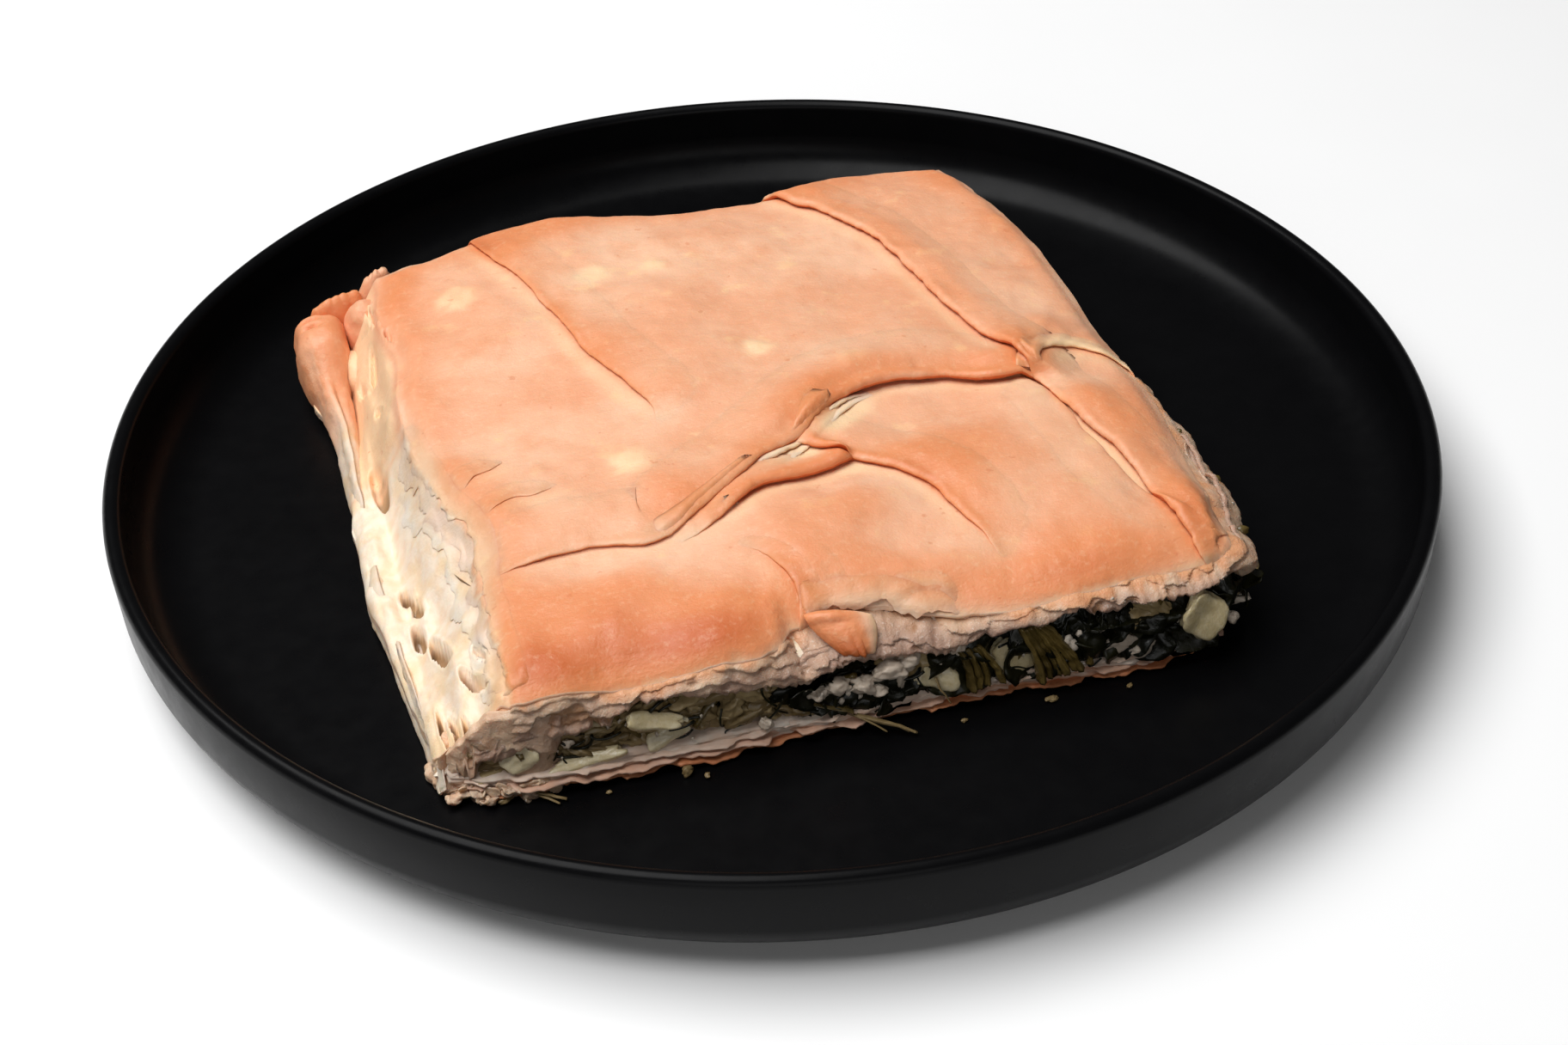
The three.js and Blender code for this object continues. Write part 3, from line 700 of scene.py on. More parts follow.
def tube(path, radius, sides=10, ridges=0, ridge=0.12, flat=1.0):
    """A closed tube along a 3-D path. radius is one number or one for each point."""
    path = np.asarray(path, float)
    radius = np.broadcast_to(radius, len(path))
    tangent = np.gradient(path, axis=0)
    tangent /= np.linalg.norm(tangent, axis=1, keepdims=True)
    hint = np.array([0.3, 0.2, 1.0]) if abs(tangent[0][2]) < 0.8 else np.array([1.0, 0.2, 0.1])
    angle = np.linspace(0, 2 * math.pi, sides, endpoint=False)
    swell = 1 + ridge * np.cos(ridges * angle) if ridges else np.ones(sides)
    rings = []
    rub, lumps, seed, apart = TUBE_RUB
    for place, way, r in zip(path, tangent, radius):
        side = np.cross(hint, way)
        side /= np.linalg.norm(side)
        other = np.cross(way, side)
        ring = (np.cos(angle) * swell)[:, None] * side + (np.sin(angle) * swell * flat)[:, None] * other
        ring = place + r * ring
        rings.append(ring + rub * r * shaken(ring, lumps, seed, apart))
    return closed_stack(rings[::-1])


# ------------------------------------------------------------------ materials
def linear(red, green, blue):
    """A colour as light, from its 0 to 255 screen values."""
    return [(c / 255 / 12.92) if c / 255 <= 0.04045 else ((c / 255 + 0.055) / 1.055) ** 2.4
            for c in (red, green, blue)] + [1.0]


class Shader:
    """A node material with one Principled shader, and short names for its usual nodes."""

    def __init__(self, name, **constants):
        self.material = bpy.data.materials.new(name)
        self.material.use_nodes = True
        self.tree = self.material.node_tree
        self.surface = self.tree.nodes["Principled BSDF"]
        for key, value in constants.items():
            self.surface.inputs[key.replace("_", " ")].default_value = value
        self.place = self.tree.nodes.new("ShaderNodeTexCoord").outputs["Object"]

    def node(self, kind, inputs, output=0, **settings):
        """One output of a new node, whose inputs are numbers or the outputs of others."""
        made = self.tree.nodes.new("ShaderNode" + kind)
        for key, value in settings.items():
            setattr(made, key, value)
        for key, value in inputs.items():
            if isinstance(value, bpy.types.NodeSocket):
                self.tree.links.new(value, made.inputs[key])
            else:
                made.inputs[key].default_value = value
        return made.outputs[output]

    def noise(self, size, detail=3.0, roughness=0.55, stretch=(1, 1, 1), distortion=0.0):
        """Noise from 0 to 1 with lumps of a size in millimetres."""
        place = self.node("Mapping", {"Vector": self.place, "Scale": stretch})
        return self.node("TexNoise", {
            "Vector": place, "Scale": 1 / (size * MM), "Detail": detail, "Roughness": roughness,
            "Distortion": distortion,
        })

    def range(self, value, low, high, to_low=0.0, to_high=1.0):
        """A value carried smoothly from one range to another."""
        return self.node("MapRange", {
            "Value": value, "From Min": low, "From Max": high, "To Min": to_low, "To Max": to_high,
        }, interpolation_type="SMOOTHSTEP")

    def blend(self, factor, a, b):
        """Colour a where the factor is 0, and b where it is 1."""
        made = self.tree.nodes.new("ShaderNodeMix")
        made.data_type = "RGBA"
        for socket, value in ((made.inputs[0], factor), (made.inputs[6], a), (made.inputs[7], b)):
            if isinstance(value, bpy.types.NodeSocket):
                self.tree.links.new(value, socket)
            else:
                socket.default_value = value
        return made.outputs[2]

    def colours(self, base, *layers):
        """A colour with others over it: what steers each, between which levels, its most, its values."""
        colour = linear(*base)
        for source, low, high, most, values in layers:
            colour = self.blend(self.range(source, low, high, 0, most), colour, linear(*values))
        return colour

    def attribute(self, name):
        """The values that a mesh carries under a name."""
        made = self.tree.nodes.new("ShaderNodeAttribute")
        made.attribute_name = name
        return made.outputs["Fac"]

    def bumps(self, *layers):
        """Bumps laid over one another: what raises each, and its depth in millimetres."""
        normal = None
        for height, depth in layers:
            inputs = {"Height": height, "Strength": 1.0, "Distance": depth * MM}
            if normal is not None:
                inputs["Normal"] = normal
            normal = self.node("Bump", inputs)
        return normal

    def finish(self, colour=None, roughness=None, normal=None):
        """The material, with what was made for it linked to its surface."""
        for key, socket in (("Base Color", colour), ("Roughness", roughness), ("Normal", normal)):
            if socket is not None:
                self.tree.links.new(socket, self.surface.inputs[key])
        return self.material


def soft(weight, scale, *radius):
    """Settings of a surface that lets some light in: how much, and how far in metres."""
    return dict(Subsurface_Weight=weight, Subsurface_Scale=scale, Subsurface_Radius=radius)


def crust_material():
    """Oiled, baked dough: salmon gold, browner on raised edges, pale where it is cut or torn, with painted
    shade in recesses and painted deep orange shadow along and under the folds' edges.
    """
    s = Shader("crust", Specular_IOR_Level=0.45, **soft(0.2, 0.003, 1.0, 0.45, 0.25))
    pale, brown, hollow, cut = (s.attribute(name) for name in ("pale", "brown", "hollow", "cut"))
    skin = s.colours(
        (236, 170, 131),
        (s.noise(26, 2.0), 0.35, 0.68, 1.0, (242, 191, 156)),
        (s.noise(9, 4.0, 0.6), 0.45, 0.75, 0.55, (230, 156, 114)),
        (s.noise(6, 3.0), 0.60, 0.75, 0.4, (248, 206, 150)),
        (pale, 0, 1, 0.85, (250, 212, 168)),
        (brown, 0, 1, 0.85, (228, 138, 84)),
        # The deepest orange is mostly painted shadow along and under the folds' edges.
        (brown, 0.9, 2.2, 0.9, (196, 92, 34)),
        (s.noise(1.1, 3.0, 0.6), 0.5, 0.8, 0.22, (250, 214, 176)),
        (s.noise(2.3, 2.0), 0.70, 0.76, 0.35, (206, 112, 66)),
    )
    dough = s.colours(
        (252, 232, 210),
        (s.noise(3.5, 4.0), 0.35, 0.7, 1.0, (246, 216, 186)),
        (s.noise(7, 3.0), 0.45, 0.7, 0.5, (250, 218, 172)),
        (brown, 0, 1, 0.7, (250, 208, 156)),
        # Painted shade in pockets, notches and under the crust's cut sides.
        (hollow, 0.2, 1, 0.85, (140, 100, 52)),
    )
    grain = s.noise(1.3, 4.0, 0.6, stretch=(0.5, 1.4, 1.0), distortion=0.6)
    bump = s.bumps((s.noise(0.45, 2.0), 0.05), (grain, 0.09), (s.noise(3.0, 4.0, 0.6), 0.16))
    return s.finish(s.blend(cut, skin, dough), s.range(s.noise(3.0, 4.0), 0.3, 0.7, 0.40, 0.58), bump)


def torn_dough_material():
    """Soft, half translucent dough of the inner sheets, darker and greyer the lower it lies, which is painted
    shade.
    """
    s = Shader("torn_dough", Specular_IOR_Level=0.5, **soft(0.3, 0.002, 1.0, 0.6, 0.4))
    dough = s.colours(
        (228, 194, 164),
        (s.noise(3.2, 4.0, 0.6), 0.35, 0.65, 1.0, (212, 170, 138)),
        # The tint darkens it as painted shade, the lower it lies.
        (s.attribute("tint"), 0, 1, 0.9, (168, 134, 116)),
        # Whitish specks are painted highlights on crumb tips.
        (s.noise(0.7, 3.0, 0.65), 0.58, 0.70, 0.35, (252, 238, 226)),
        # Painted shade in pits and in the gap under the skin's edge.
        (s.attribute("hollow"), 0.1, 1, 0.8, (166, 112, 60)),
    )
    bump = s.bumps((s.noise(0.35, 3.0, 0.65), 0.10), (s.noise(1.4, 5.0, 0.6), 0.22))
    colour = s.blend(s.attribute("skin"), dough, linear(224, 150, 98))
    return s.finish(colour, s.range(s.noise(0.8, 3.0), 0.35, 0.65, 0.3, 0.6), bump)


def lower_crust_material():
    """Dry, streaky dough of the bottom sheets, baked brown underneath."""
    s = Shader("lower_crust", Specular_IOR_Level=0.4, **soft(0.1, 0.002, 1.0, 0.5, 0.3))
    streaks = s.noise(2.4, 4.0, 0.6, stretch=(0.35, 0.35, 2.2))
    dough = s.colours((226, 208, 192), (streaks, 0.35, 0.65, 1.0, (208, 182, 162)))
    baked = s.colours((182, 112, 72), (s.noise(5, 4.0), 0.35, 0.7, 1.0, (214, 142, 98)))
    colour = s.blend(s.attribute("brown"), dough, baked)
    # Painted shade in recesses, where a piece carries it.
    colour = s.blend(s.range(s.attribute("hollow"), 0.2, 1, 0, 0.7), colour, linear(178, 134, 88))
    bump = s.bumps((s.noise(0.5, 3.0), 0.06), (streaks, 0.15))
    return s.finish(colour, s.range(streaks, 0.3, 0.7, 0.45, 0.65), bump)


def wet_material(name, dark, light, roughness=0.3, coat=0.4, **constants):
    """Something wet whose pieces run from one colour to another by their own tint."""
    s = Shader(name, Coat_Weight=coat, Coat_Roughness=0.12, **constants)
    dark, light = (*dark, 1), (*light, 1)
    streak = s.noise(1.6, 4.0, 0.65, stretch=(1, 1, 0.6))
    colour = s.blend(s.attribute("tint"), dark, light)
    colour = s.blend(s.range(streak, 0.35, 0.75, 0, 0.45), colour, light)
    bump = s.bumps((s.noise(0.7, 4.0, 0.65), 0.12))
    return s.finish(colour, s.range(streak, 0.3, 0.7, roughness * 0.75, roughness * 1.3), bump)


def plate_material():
    """Black satin glaze."""
    s = Shader("plate_glaze", Specular_IOR_Level=0.08)
    colour = s.blend(s.noise(9, 3.0), (0.0020, 0.0020, 0.0023, 1), (0.0034, 0.0034, 0.0038, 1))
    gloss = s.range(s.noise(4, 4.0), 0.3, 0.7, 0.27, 0.33)
    return s.finish(colour, gloss, s.bumps((s.noise(0.9, 2.0), 0.006)))


def floor_material():
    """Plain white backdrop."""
    s = Shader("floor", Specular_IOR_Level=0.2)
    return s.finish(s.blend(s.noise(40, 2.0), (0.93, 0.93, 0.93, 1), (0.95, 0.95, 0.95, 1)),
                    s.range(s.noise(30, 2.0), 0, 1, 0.7, 0.8))


# ------------------------------------------------------------------ upper crust
FINE_COLUMNS, COLUMNS, ROWS = 52, 190, 240
SLOPE_INNER = -56.0
PATH_STEPS = 80


def prepare_folds():
    """Gives every fold and sheet edge the points that its path goes through."""
    for fold in FOLDS:
        fold["points"] = spline(fold["path"], PATH_STEPS)
    y = np.linspace(FRONT + 2.5, 14, 90)
    for k, low_sheet in enumerate(SLOPE_SHEETS):
        wander = low_sheet["wander"] * (noise(y, 0, 9, 90 + k) + 0.6 * noise(y, 0, 3.5, 94 + k))
        low_sheet["points"] = np.stack([skin_left(y) + low_sheet["inset"] + wander, y], axis=1)
    for torn_edge in EDGE_SHEETS:
        x = np.linspace(*torn_edge["ends"], 60)
        torn_edge["points"] = np.stack([x, through(FRONT_EDGE, x) + torn_edge["behind"]], axis=1)


def outline_grid():
    """Places of the top's grid, closer together over the left slope than over the rest."""
    share = np.linspace(0, 1, ROWS + 1)
    y0 = mix(FRONT, BACK, share)[:, None]
    slope = mix(slope_end(y0), SLOPE_INNER, np.linspace(0, 1, FINE_COLUMNS + 1)[None, :-1] ** 1.15)
    u = np.linspace(0, 1, COLUMNS - FINE_COLUMNS + 1)[None, :]
    x = np.hstack([slope, mix(SLOPE_INNER, through(RIGHT_EDGE, y0), u)])
    return x, mix(through(FRONT_EDGE, x), through(BACK_EDGE, x), share[:, None])


def layered(position, depth, layers, seed):
    """How far cut layers stand out: each has its own ragged edge, rounded between grooves."""
    level = depth * layers + noises(position, 0, (0.45, 16, seed), (0.15, 4, seed + 1))
    layer = np.floor(level)
    within = level - layer
    edge = noise(position + 37.7 * layer, layer * 9.1, 5, seed + 2)
    edge = edge + 0.6 * noise(position + 11 * layer, layer, 1.7, seed + 3)
    return 0.75 * edge + 0.45 * np.sqrt(np.clip(1 - (2 * within - 1) ** 2, 0, 1)) - 0.3


def lengths(path):
    """How far along a path each of its points lies."""
    return np.concatenate([[0], np.cumsum(np.linalg.norm(np.diff(path, axis=0), axis=1))])


# Down from the top's edge over its rounding: depth, how far it stands out.
EDGE_PROFILE = ((0.12, 0.12), (0.3, 0.2), (0.55, 0.16), (0.72, -0.06), (0.8, -0.5), (0.95, -0.9), (1.3, -1.0))
SIDE_ROWS = 12
# Under the crust's lower edge: how far in, how much higher.
CRUST_UNDER = ((0.8, 0.25), (2.5, 0.8), (6.0, 1.2))
CRUST_CEILING = 15.0


def crust_sides(edge):
    """Rings down from the crust's top edge and in under it, with the cut tint of each and its painted shade,
    which deepens in the notches, between layers, lower down and underneath.
    """
    place, top = edge[:, :2], edge[:, 2]
    out, position = outward(place, 10), lengths(place)
    is_left = smooth(place[:, 0] - rim_outer(place[:, 1]), 4.6, 1.7)
    low = upper_interface(*place.T) + 0.8 * noise(position, 0, 3.4, 71) + 0.4
    low = mix(np.minimum(low, top - 3.0), 8.0, is_left)
    retreat = (through(FRONT_EDGE, place[:, 0]) - through(FILL_FRONT, place[:, 0])).clip(0)
    retreat = retreat * smooth(-out[:, 1], 0.3, 0.8)
    notch, whole = smooth(retreat, 1, 4), np.ones(len(place))
    rows = []
    for depth, push in EDGE_PROFILE:
        push = (push * (0.15 + notch) if push < 0 else push) + 0.3 * retreat * smooth(depth, 0.9, 1.3)
        ring = ring_at(place, out, push * (1 - is_left), top - depth)
        rows.append((ring, 0.3 + 0.3 * is_left, smooth(depth, 0.72, 1.0) * 0.5 * notch))
    start = EDGE_PROFILE[-1][0]
    for q in np.linspace(0, 1, SIDE_ROWS + 1)[1:]:
        z = top - start - q * (top - start - low)
        wave = layered(position, q * (top - low) / 14.0, 5, 80) * smooth(q, 0, 0.15)
        here = np.column_stack([place, z])
        rub = 0.5 * rough3(here, 3.2, 90) + 0.16 * noise3(here, 0.9, 91)
        curve = 0.3 * np.sin(np.pi * q) ** 0.8 - 1.3 * (1 - q) - 2.2 * q
        push = (curve + wave + rub) * (1 - is_left)
        push = push + retreat * (0.3 + 0.7 * smooth(q, 0.0, 0.55)) * (1 - 0.5 * q**3)
        rows.append((ring_at(place, out, push, z), whole, np.clip(-wave, 0, 1) * 0.5 + 0.25 * q))
    inner = rows[-1][0][:, :2]
    for inset, rise in CRUST_UNDER:
        rows.append((ring_at(inner, out, -inset, low + rise * (1 - is_left)), whole, 0.6 * whole))
    shrunk = mix(place.mean(0), place, 0.75)
    rows.append((ring_at(shrunk, out, 0, CRUST_CEILING), whole, whole))
    return zip(*rows)


def upper_crust(material):
    """The skin with the left slope, its cut sides, and a closed underside."""
    x, y = outline_grid()
    height, tints = top_sheet(x, y)
    tints["brown"] = tints["brown"] + toasted(x, y)
    ring = grid_border(COLUMNS, ROWS)
    flat = np.stack([x, y, height], axis=-1).reshape(-1, 3)
    rings, cuts, recess_shades = crust_sides(flat[ring])
    centre = flat[ring, :2].mean(0)
    points = np.concatenate([flat, *rings, [[*centre, CRUST_CEILING]]])
    numbers = [ring] + [len(flat) + k * len(ring) + np.arange(len(ring)) for k in range(len(rings))]
    faces = [grid_faces(COLUMNS, ROWS)]
    faces += [band_faces(a, b) for a, b in zip(numbers[:-1], numbers[1:])]
    last = numbers[-1]
    faces.append(np.stack([np.roll(last, -1), last, np.full(len(last), len(points) - 1)], axis=1))
    zeros = np.zeros(len(points) - len(flat))
    below = {"brown": zeros, "pale": zeros, "cut": np.concatenate([*cuts, [1.0]]),
             "hollow": np.concatenate([*recess_shades, [1.0]])}
    joined = {key: np.concatenate([tints[key].ravel(), values]) for key, values in below.items()}
    return make_piece("upper_crust_sheets", points, faces, material, "upper_crust", **joined)


# Across a folded sheet: shares of its reach from the far end to the edge, the turn of the edge from
# there to its underside, and the places under it as (distance in, depth below that underside).
SHEET_SHARES = (
    1.0, 0.88, 0.76, 0.65, 0.55, 0.46, 0.38, 0.31, 0.25, 0.19, 0.14, 0.10, 0.065, 0.035, 0.014, 0.004, 0.0,
)
SHEET_TURN = np.radians(np.linspace(180, 270, 7))
SHEET_UNDER = ((0.5, 0.0), (1.2, 0.15), (2.2, 0.8))
SHEET_STEP = 0.5
LIP_WIDTH = 4.2
STEEPEST = (2.5, 1.5)


def sheet_section(fold, position, share, ends, seed):
    """Across a folded sheet: distance in from its edge, height over what it lies on, share of the lip."""
    wander = 1 + 0.16 * noise(position, 0, 7, seed)
    lift, thick = fold["lift"] * ends * wander, np.maximum(fold["thick"] * ends * wander, 0.12)
    tears = noises(position, 0, (1.0, 4.6, seed + 3), (0.5, 1.5, seed + 4))
    teeth = noises(position, 0, (0.3, 4.5, seed + 1), (0.06, 0.9, seed + 2)) - fold["hang"]
    teeth = teeth + fold["torn"] * (tears + 0.5 * np.abs(noise(position, 0, 0.7, seed + 5)))
    reach = fold["reach"] * np.ones(len(position))
    if fold["tip"]:
        reach = reach * mix(0.28, 1.0, smooth(share, 0, fold["tip"]))
    radius, gap = thick / 2, fold["gap"] * ends
    rows = []
    for t in SHEET_SHARES:
        back = t * reach
        rise = np.sqrt(1 - (1 - np.clip(back / fold["shoulder"], 0, 1)) ** 2)
        rest = mix(np.minimum(gap + radius, lift), lift, rise) - fold_swell(fold, back, ends)
        height = rest * (1 - smooth(t, 0, 1)) - 0.14 * smooth(t, 0.75, 1)
        rows.append((back + (1 - t) ** 3 * teeth, height, bell(t * fold["reach"] / LIP_WIDTH)))
    for turn in SHEET_TURN[1:]:
        rows.append((radius + radius * math.cos(turn) + teeth, gap + radius + radius * math.sin(turn), 1.0))
    for inset, depth in SHEET_UNDER:
        rows.append((radius + inset + teeth, gap - depth, 1.0))
    rows.append((reach * 0.7, -1.2 * np.ones(len(position)), 0.0))
    side, height = (np.stack(column, axis=1) for column in list(zip(*rows))[:2])
    sunk = 0.15 * (1 - ends) + 0.7 * smooth(ends, 0.06, 0)
    return side, height - sunk[:, None], np.array([row[2] for row in rows])[None, :] * ends[:, None]


def over_top(x, y, height, under, upright):
    """Points over the top: straight up from it, or along its normal, and the top's tints there."""
    z, tints = top_sheet(x, y, under)
    slope_x = slope_y = np.zeros(x.shape)
    if not upright:
        tiny = 0.05
        slope_x = np.clip((top_sheet(x + tiny, y, under)[0] - z) / tiny, -STEEPEST[0], STEEPEST[0])
        slope_y = np.clip((top_sheet(x, y + tiny, under)[0] - z) / tiny, -STEEPEST[1], STEEPEST[1])
    along = height / np.sqrt(1 + slope_x**2 + slope_y**2)
    return np.stack([x - slope_x * along, y - slope_y * along, z + along], axis=-1), tints


def lapped_sheet(fold, under, seed):
    """A closed sheet with a free edge along the fold's path, lying on the top with its folds so far."""
    count = max(int(lengths(fold["points"])[-1] / SHEET_STEP), 24)
    share = np.linspace(0, 1, count + 1)
    at = np.linspace(0, 1, len(fold["points"]))
    path = np.stack([np.interp(share, at, fold["points"][:, k]) for k in (0, 1)], axis=1)
    position, into, ends = lengths(path), path_out(path, 9), fold_ends(fold, share)
    side, height, lip = sheet_section(fold, position, share, ends, seed)
    x = path[:, :1] + into[:, :1] * side
    y = path[:, 1:] + into[:, 1:] * side
    swelling = fold["swell"] > 0
    if swelling:
        x = np.minimum(x, through(RIGHT_EDGE, y) + 0.2)
        y = np.clip(y, through(FRONT_EDGE, x) - 0.3, through(BACK_EDGE, x) + 0.2)
    points, tints = over_top(x, y, height, under, swelling)
    points[..., 2] += 0.06 * noise(x, y, 1.6, seed + 6) * smooth(side, 4, 1)
    points[..., 2] = np.maximum(points[..., 2], 7.0)
    points, faces = closed_stack(list(points))
    # The lip's turned-under side is painted deep brown, as shade under the lip.
    lip_underside_shade = np.zeros(side.shape)
    lip_underside_shade[:, len(SHEET_SHARES):-1] = 1.5 * ends[:, None] * (fold["brown"] > 0.15)
    patchy = np.clip(0.75 + 0.6 * noise(position, 0, 9, seed + 7), 0.2, 1.3)[:, None]
    sheet_tints = {
        "brown": tints["brown"] + toasted(x, y) + fold["brown"] * lip * patchy + lip_underside_shade,
        "pale": tints["pale"] * (1 - lip) + fold["pale"] * lip**2,
        "cut": np.maximum(tints["cut"], fold["wet"] * (lip > 0)),
        "hollow": 0.3 * tints["hollow"],
    }
    return points, faces, {key: np.concatenate([value.ravel(), [value[0].mean(), value[-1].mean()]])
                           for key, value in sheet_tints.items()}


def skin_folds(material):
    """The overlapping sheets of the top, of its torn front edge and of the torn left slope."""
    heap = Heap()
    order = [(fold, 0) for fold in SLOPE_SHEETS]
    order += [(fold, k if fold["under"] is None else fold["under"]) for k, fold in enumerate(FOLDS)]
    order += [(fold, len(FOLDS)) for fold in EDGE_SHEETS]
    for k, (fold, under) in enumerate(order):
        points, faces, tints = lapped_sheet(fold, under, 500 + 10 * k)
        heap.add(points, faces, 0)
        for key, values in tints.items():
            heap.layers.setdefault(key, []).append(values)
    return heap.finish("skin_folds", material, "upper_crust")


def right_bulge(y):
    """How far the filling and the sheets over it swell out past the skin on the right."""
    v = (y - FRONT) / (BACK - FRONT)
    return BULGE * smooth(1 - np.abs(v - 0.17) * 3.4, 0, 1)


def cut_path(front, step, left=SLOPE_FOOT + 1, bulge=0.0):
    """Places along the three cut sides, from the front left corner round to the back left corner."""
    x = np.arange(left, 57, step)
    y = np.arange(-61.5, 61, step)
    sides = [np.column_stack([x, through(front, x)])]
    sides.append(np.column_stack([through(RIGHT_EDGE, y) + bulge * right_bulge(y), y]))
    sides.append(np.column_stack([x[::-1], through(BACK_EDGE, x[::-1])]))
    return evened(np.concatenate(sides), 9)


def evened(points, count):
    """Points along a path, each the mean of itself and its neighbours."""
    padded = np.pad(points, ((count // 2,) * 2, (0, 0)), mode="edge")
    near = np.ones(count) / count
    return np.stack([np.convolve(padded[:, axis], near, mode="valid") for axis in (0, 1)], axis=1)


def path_out(path, spread=1):
    """Directions to the right of a path, evened out over a few neighbours."""
    way = evened(np.gradient(path, axis=0), spread)
    return np.stack([way[:, 1], -way[:, 0]], axis=1) / np.linalg.norm(way, axis=1, keepdims=True)


# Across a ribbon's edge: how far in from it.
RIBBON_INSETS = (5.0, 2.6, 1.4, 0.7, 0.3, 0.08)
RIBBON_ROUND = 0.7


def ribbon(path, out, height, thickness):
    """A closed thin sheet whose torn edge runs along a path."""
    position = lengths(path)
    section = [(-inset, 1) for inset in RIBBON_INSETS] + [(0.0, 0)]
    section += [(-inset, -1) for inset in RIBBON_INSETS[::-1]]
    rows = []
    for inset, side in section:
        full = math.sqrt(1 - (1 - min(-inset / RIBBON_ROUND, 1)) ** 2)
        rub = 0.12 * noise(position, inset * 3 + side * 7, 1.1, 95)
        rub = rub + 0.1 * noise(position, inset + side * 5, 2.8, 96)
        rows.append(ring_at(path, out, inset, height + (side * thickness / 2 + rub) * full))
    return closed_strip(rows)


def ragged(position, seed, bite):
    """A torn edge: lumps, fine teeth, and here and there a bite taken out."""
    teeth = noises(position, 0, (0.8, 3.8, seed), (0.5, 1.5, seed + 1), (0.28, 0.7, seed + 2))
    return teeth - bite * smooth(noise(position, 0, 5.5, seed + 3), 0.25, 0.5)


# Behind the torn band, and round the other cut sides, torn sheets hang one behind the other: share of
# the band's height that each reaches down to, how far it stands out, its thickness.
FRONT_CURTAINS = ((0.85, -1.6, 0.8), (1.12, -2.4, 0.8))
SIDE_CURTAINS = ((0.75, -2.6, 0.9), (1.0, -3.0, 0.9))
FRONT_CURTAINS_END = -14.0
# Heights over a curtain's torn edge, as shares of the last one.
CURTAIN_DROPS = (0.0, 0.08, 0.25, 0.5, 0.8, 1.15, 1.5, 1.9, 2.4, 3.0, 3.6)


def curtain(path, out, root, tip, thickness, seed):
    """A closed sheet that hangs from a height down to a thin torn lower edge, lumpy on both faces."""
    long = np.maximum(root - tip, 0.6)
    outer, inner = [], []
    for drop in CURTAIN_DROPS:
        share = drop / CURTAIN_DROPS[-1]
        z = tip + share * long
        here = np.column_stack([path, z])
        rub = 0.35 * noise3(here, 2.3, seed) + 0.22 * noise3(here * [1, 1, 0.7], 1.0, seed + 1)
        rub = rub + 0.1 * noise3(here, 0.5, seed + 2)
        rub = rub + 0.5 * math.sin(math.pi * share) * np.minimum(long / 3, 1)
        half = thickness / 2 * (0.14 + 0.86 * smooth(drop, 0, 1.5))
        outer.append(ring_at(path, out, rub + half, z))
        inner.append(ring_at(path, out, rub - half, z))
    return closed_strip(outer[::-1] + inner)


def upper_band(step):
    """The upper cut: places along it at the skin and at the filling, and its top and bottom heights."""
    skin, below = cut_path(FRONT_EDGE, step), cut_path(FILL_FRONT, step, bulge=0.85)
    top = top_sheet(skin[:, 0], skin[:, 1])[0] - 0.8
    low = np.minimum(upper_interface(skin[:, 0], skin[:, 1]) + 0.3, top - 2)
    return skin, below, top, low


BAND_STEP = 0.34
BAND_ROWS = 36
# Behind the band's lower edge: how far in, how much higher.
BAND_BACK = ((0.35, 0.12), (1.6, 0.7), (3.0, 1.6))


def front_end(skin):
    """Where along the cut the open front gives way to the covered right side."""
    return int(np.argmax((skin[:, 0] > 50) & (skin[:, 1] > FRONT_CURTAINS_END)))


def teeth(position, *lumps):
    """Teeth of a torn edge, several sizes added up: height, size, seed, and row of the noise."""
    return sum(high * np.abs(noise(position, row, size, seed)) for high, size, seed, row in lumps)


def band_row(q, position, z, here, tall, side, open_gap):
    """One level of the torn band: how far it stands out, its ledges and crumbs, its pits, its shadow."""
    level = q * tall / 1.9 + 0.9 * noise(position, 0, 9, 404) + 0.35 * noise(position, z, 2.4, 405)
    layer = np.floor(level)
    edge = 0.5 * noise(position + 31.7 * layer, layer * 7.1, 3.4, 406)
    edge = edge + 0.3 * noise(position + 17.3 * layer, layer * 3.3, 1.2, 407)
    ledge = 0.45 * edge + 0.5 * smooth(level - layer, 0.0, 0.9) - 0.25
    crumbs = noises3(here, (0.13, 0.9, 408), (0.08, 0.45, 409), (0.3, 2.6, 415))
    pit = smooth(noise3(here * [1, 1, 1.5], 2.9, 410) + 0.3 * noise3(here, 1.1, 411), 0.42, 0.7)
    pit = pit * smooth(q, 0.2, 0.4)
    rise = smooth(q, 0.0, 0.12)
    bow = 0.2 + 0.7 * math.sin(math.pi * min(q * 1.1, 1)) ** 0.8 - 0.4 * smooth(q, 0.85, 1)
    bow = bow * rise - 0.9 * (1 - rise)
    shadow = open_gap * bell((q * tall - 0.7) / 0.6)
    swollen = 1.3 * math.sin(math.pi * q) ** 0.8 + 0.9 * noise3(here * [1, 1, 1.3], 4.6, 417)
    push = bow + (ledge + crumbs) * mix(0.35, 1.0, rise) - 0.9 * pit - 2.0 * shadow
    push = mix(push, bow + 0.35 * ledge + crumbs + swollen, side)
    return push, edge + crumbs, pit, shadow


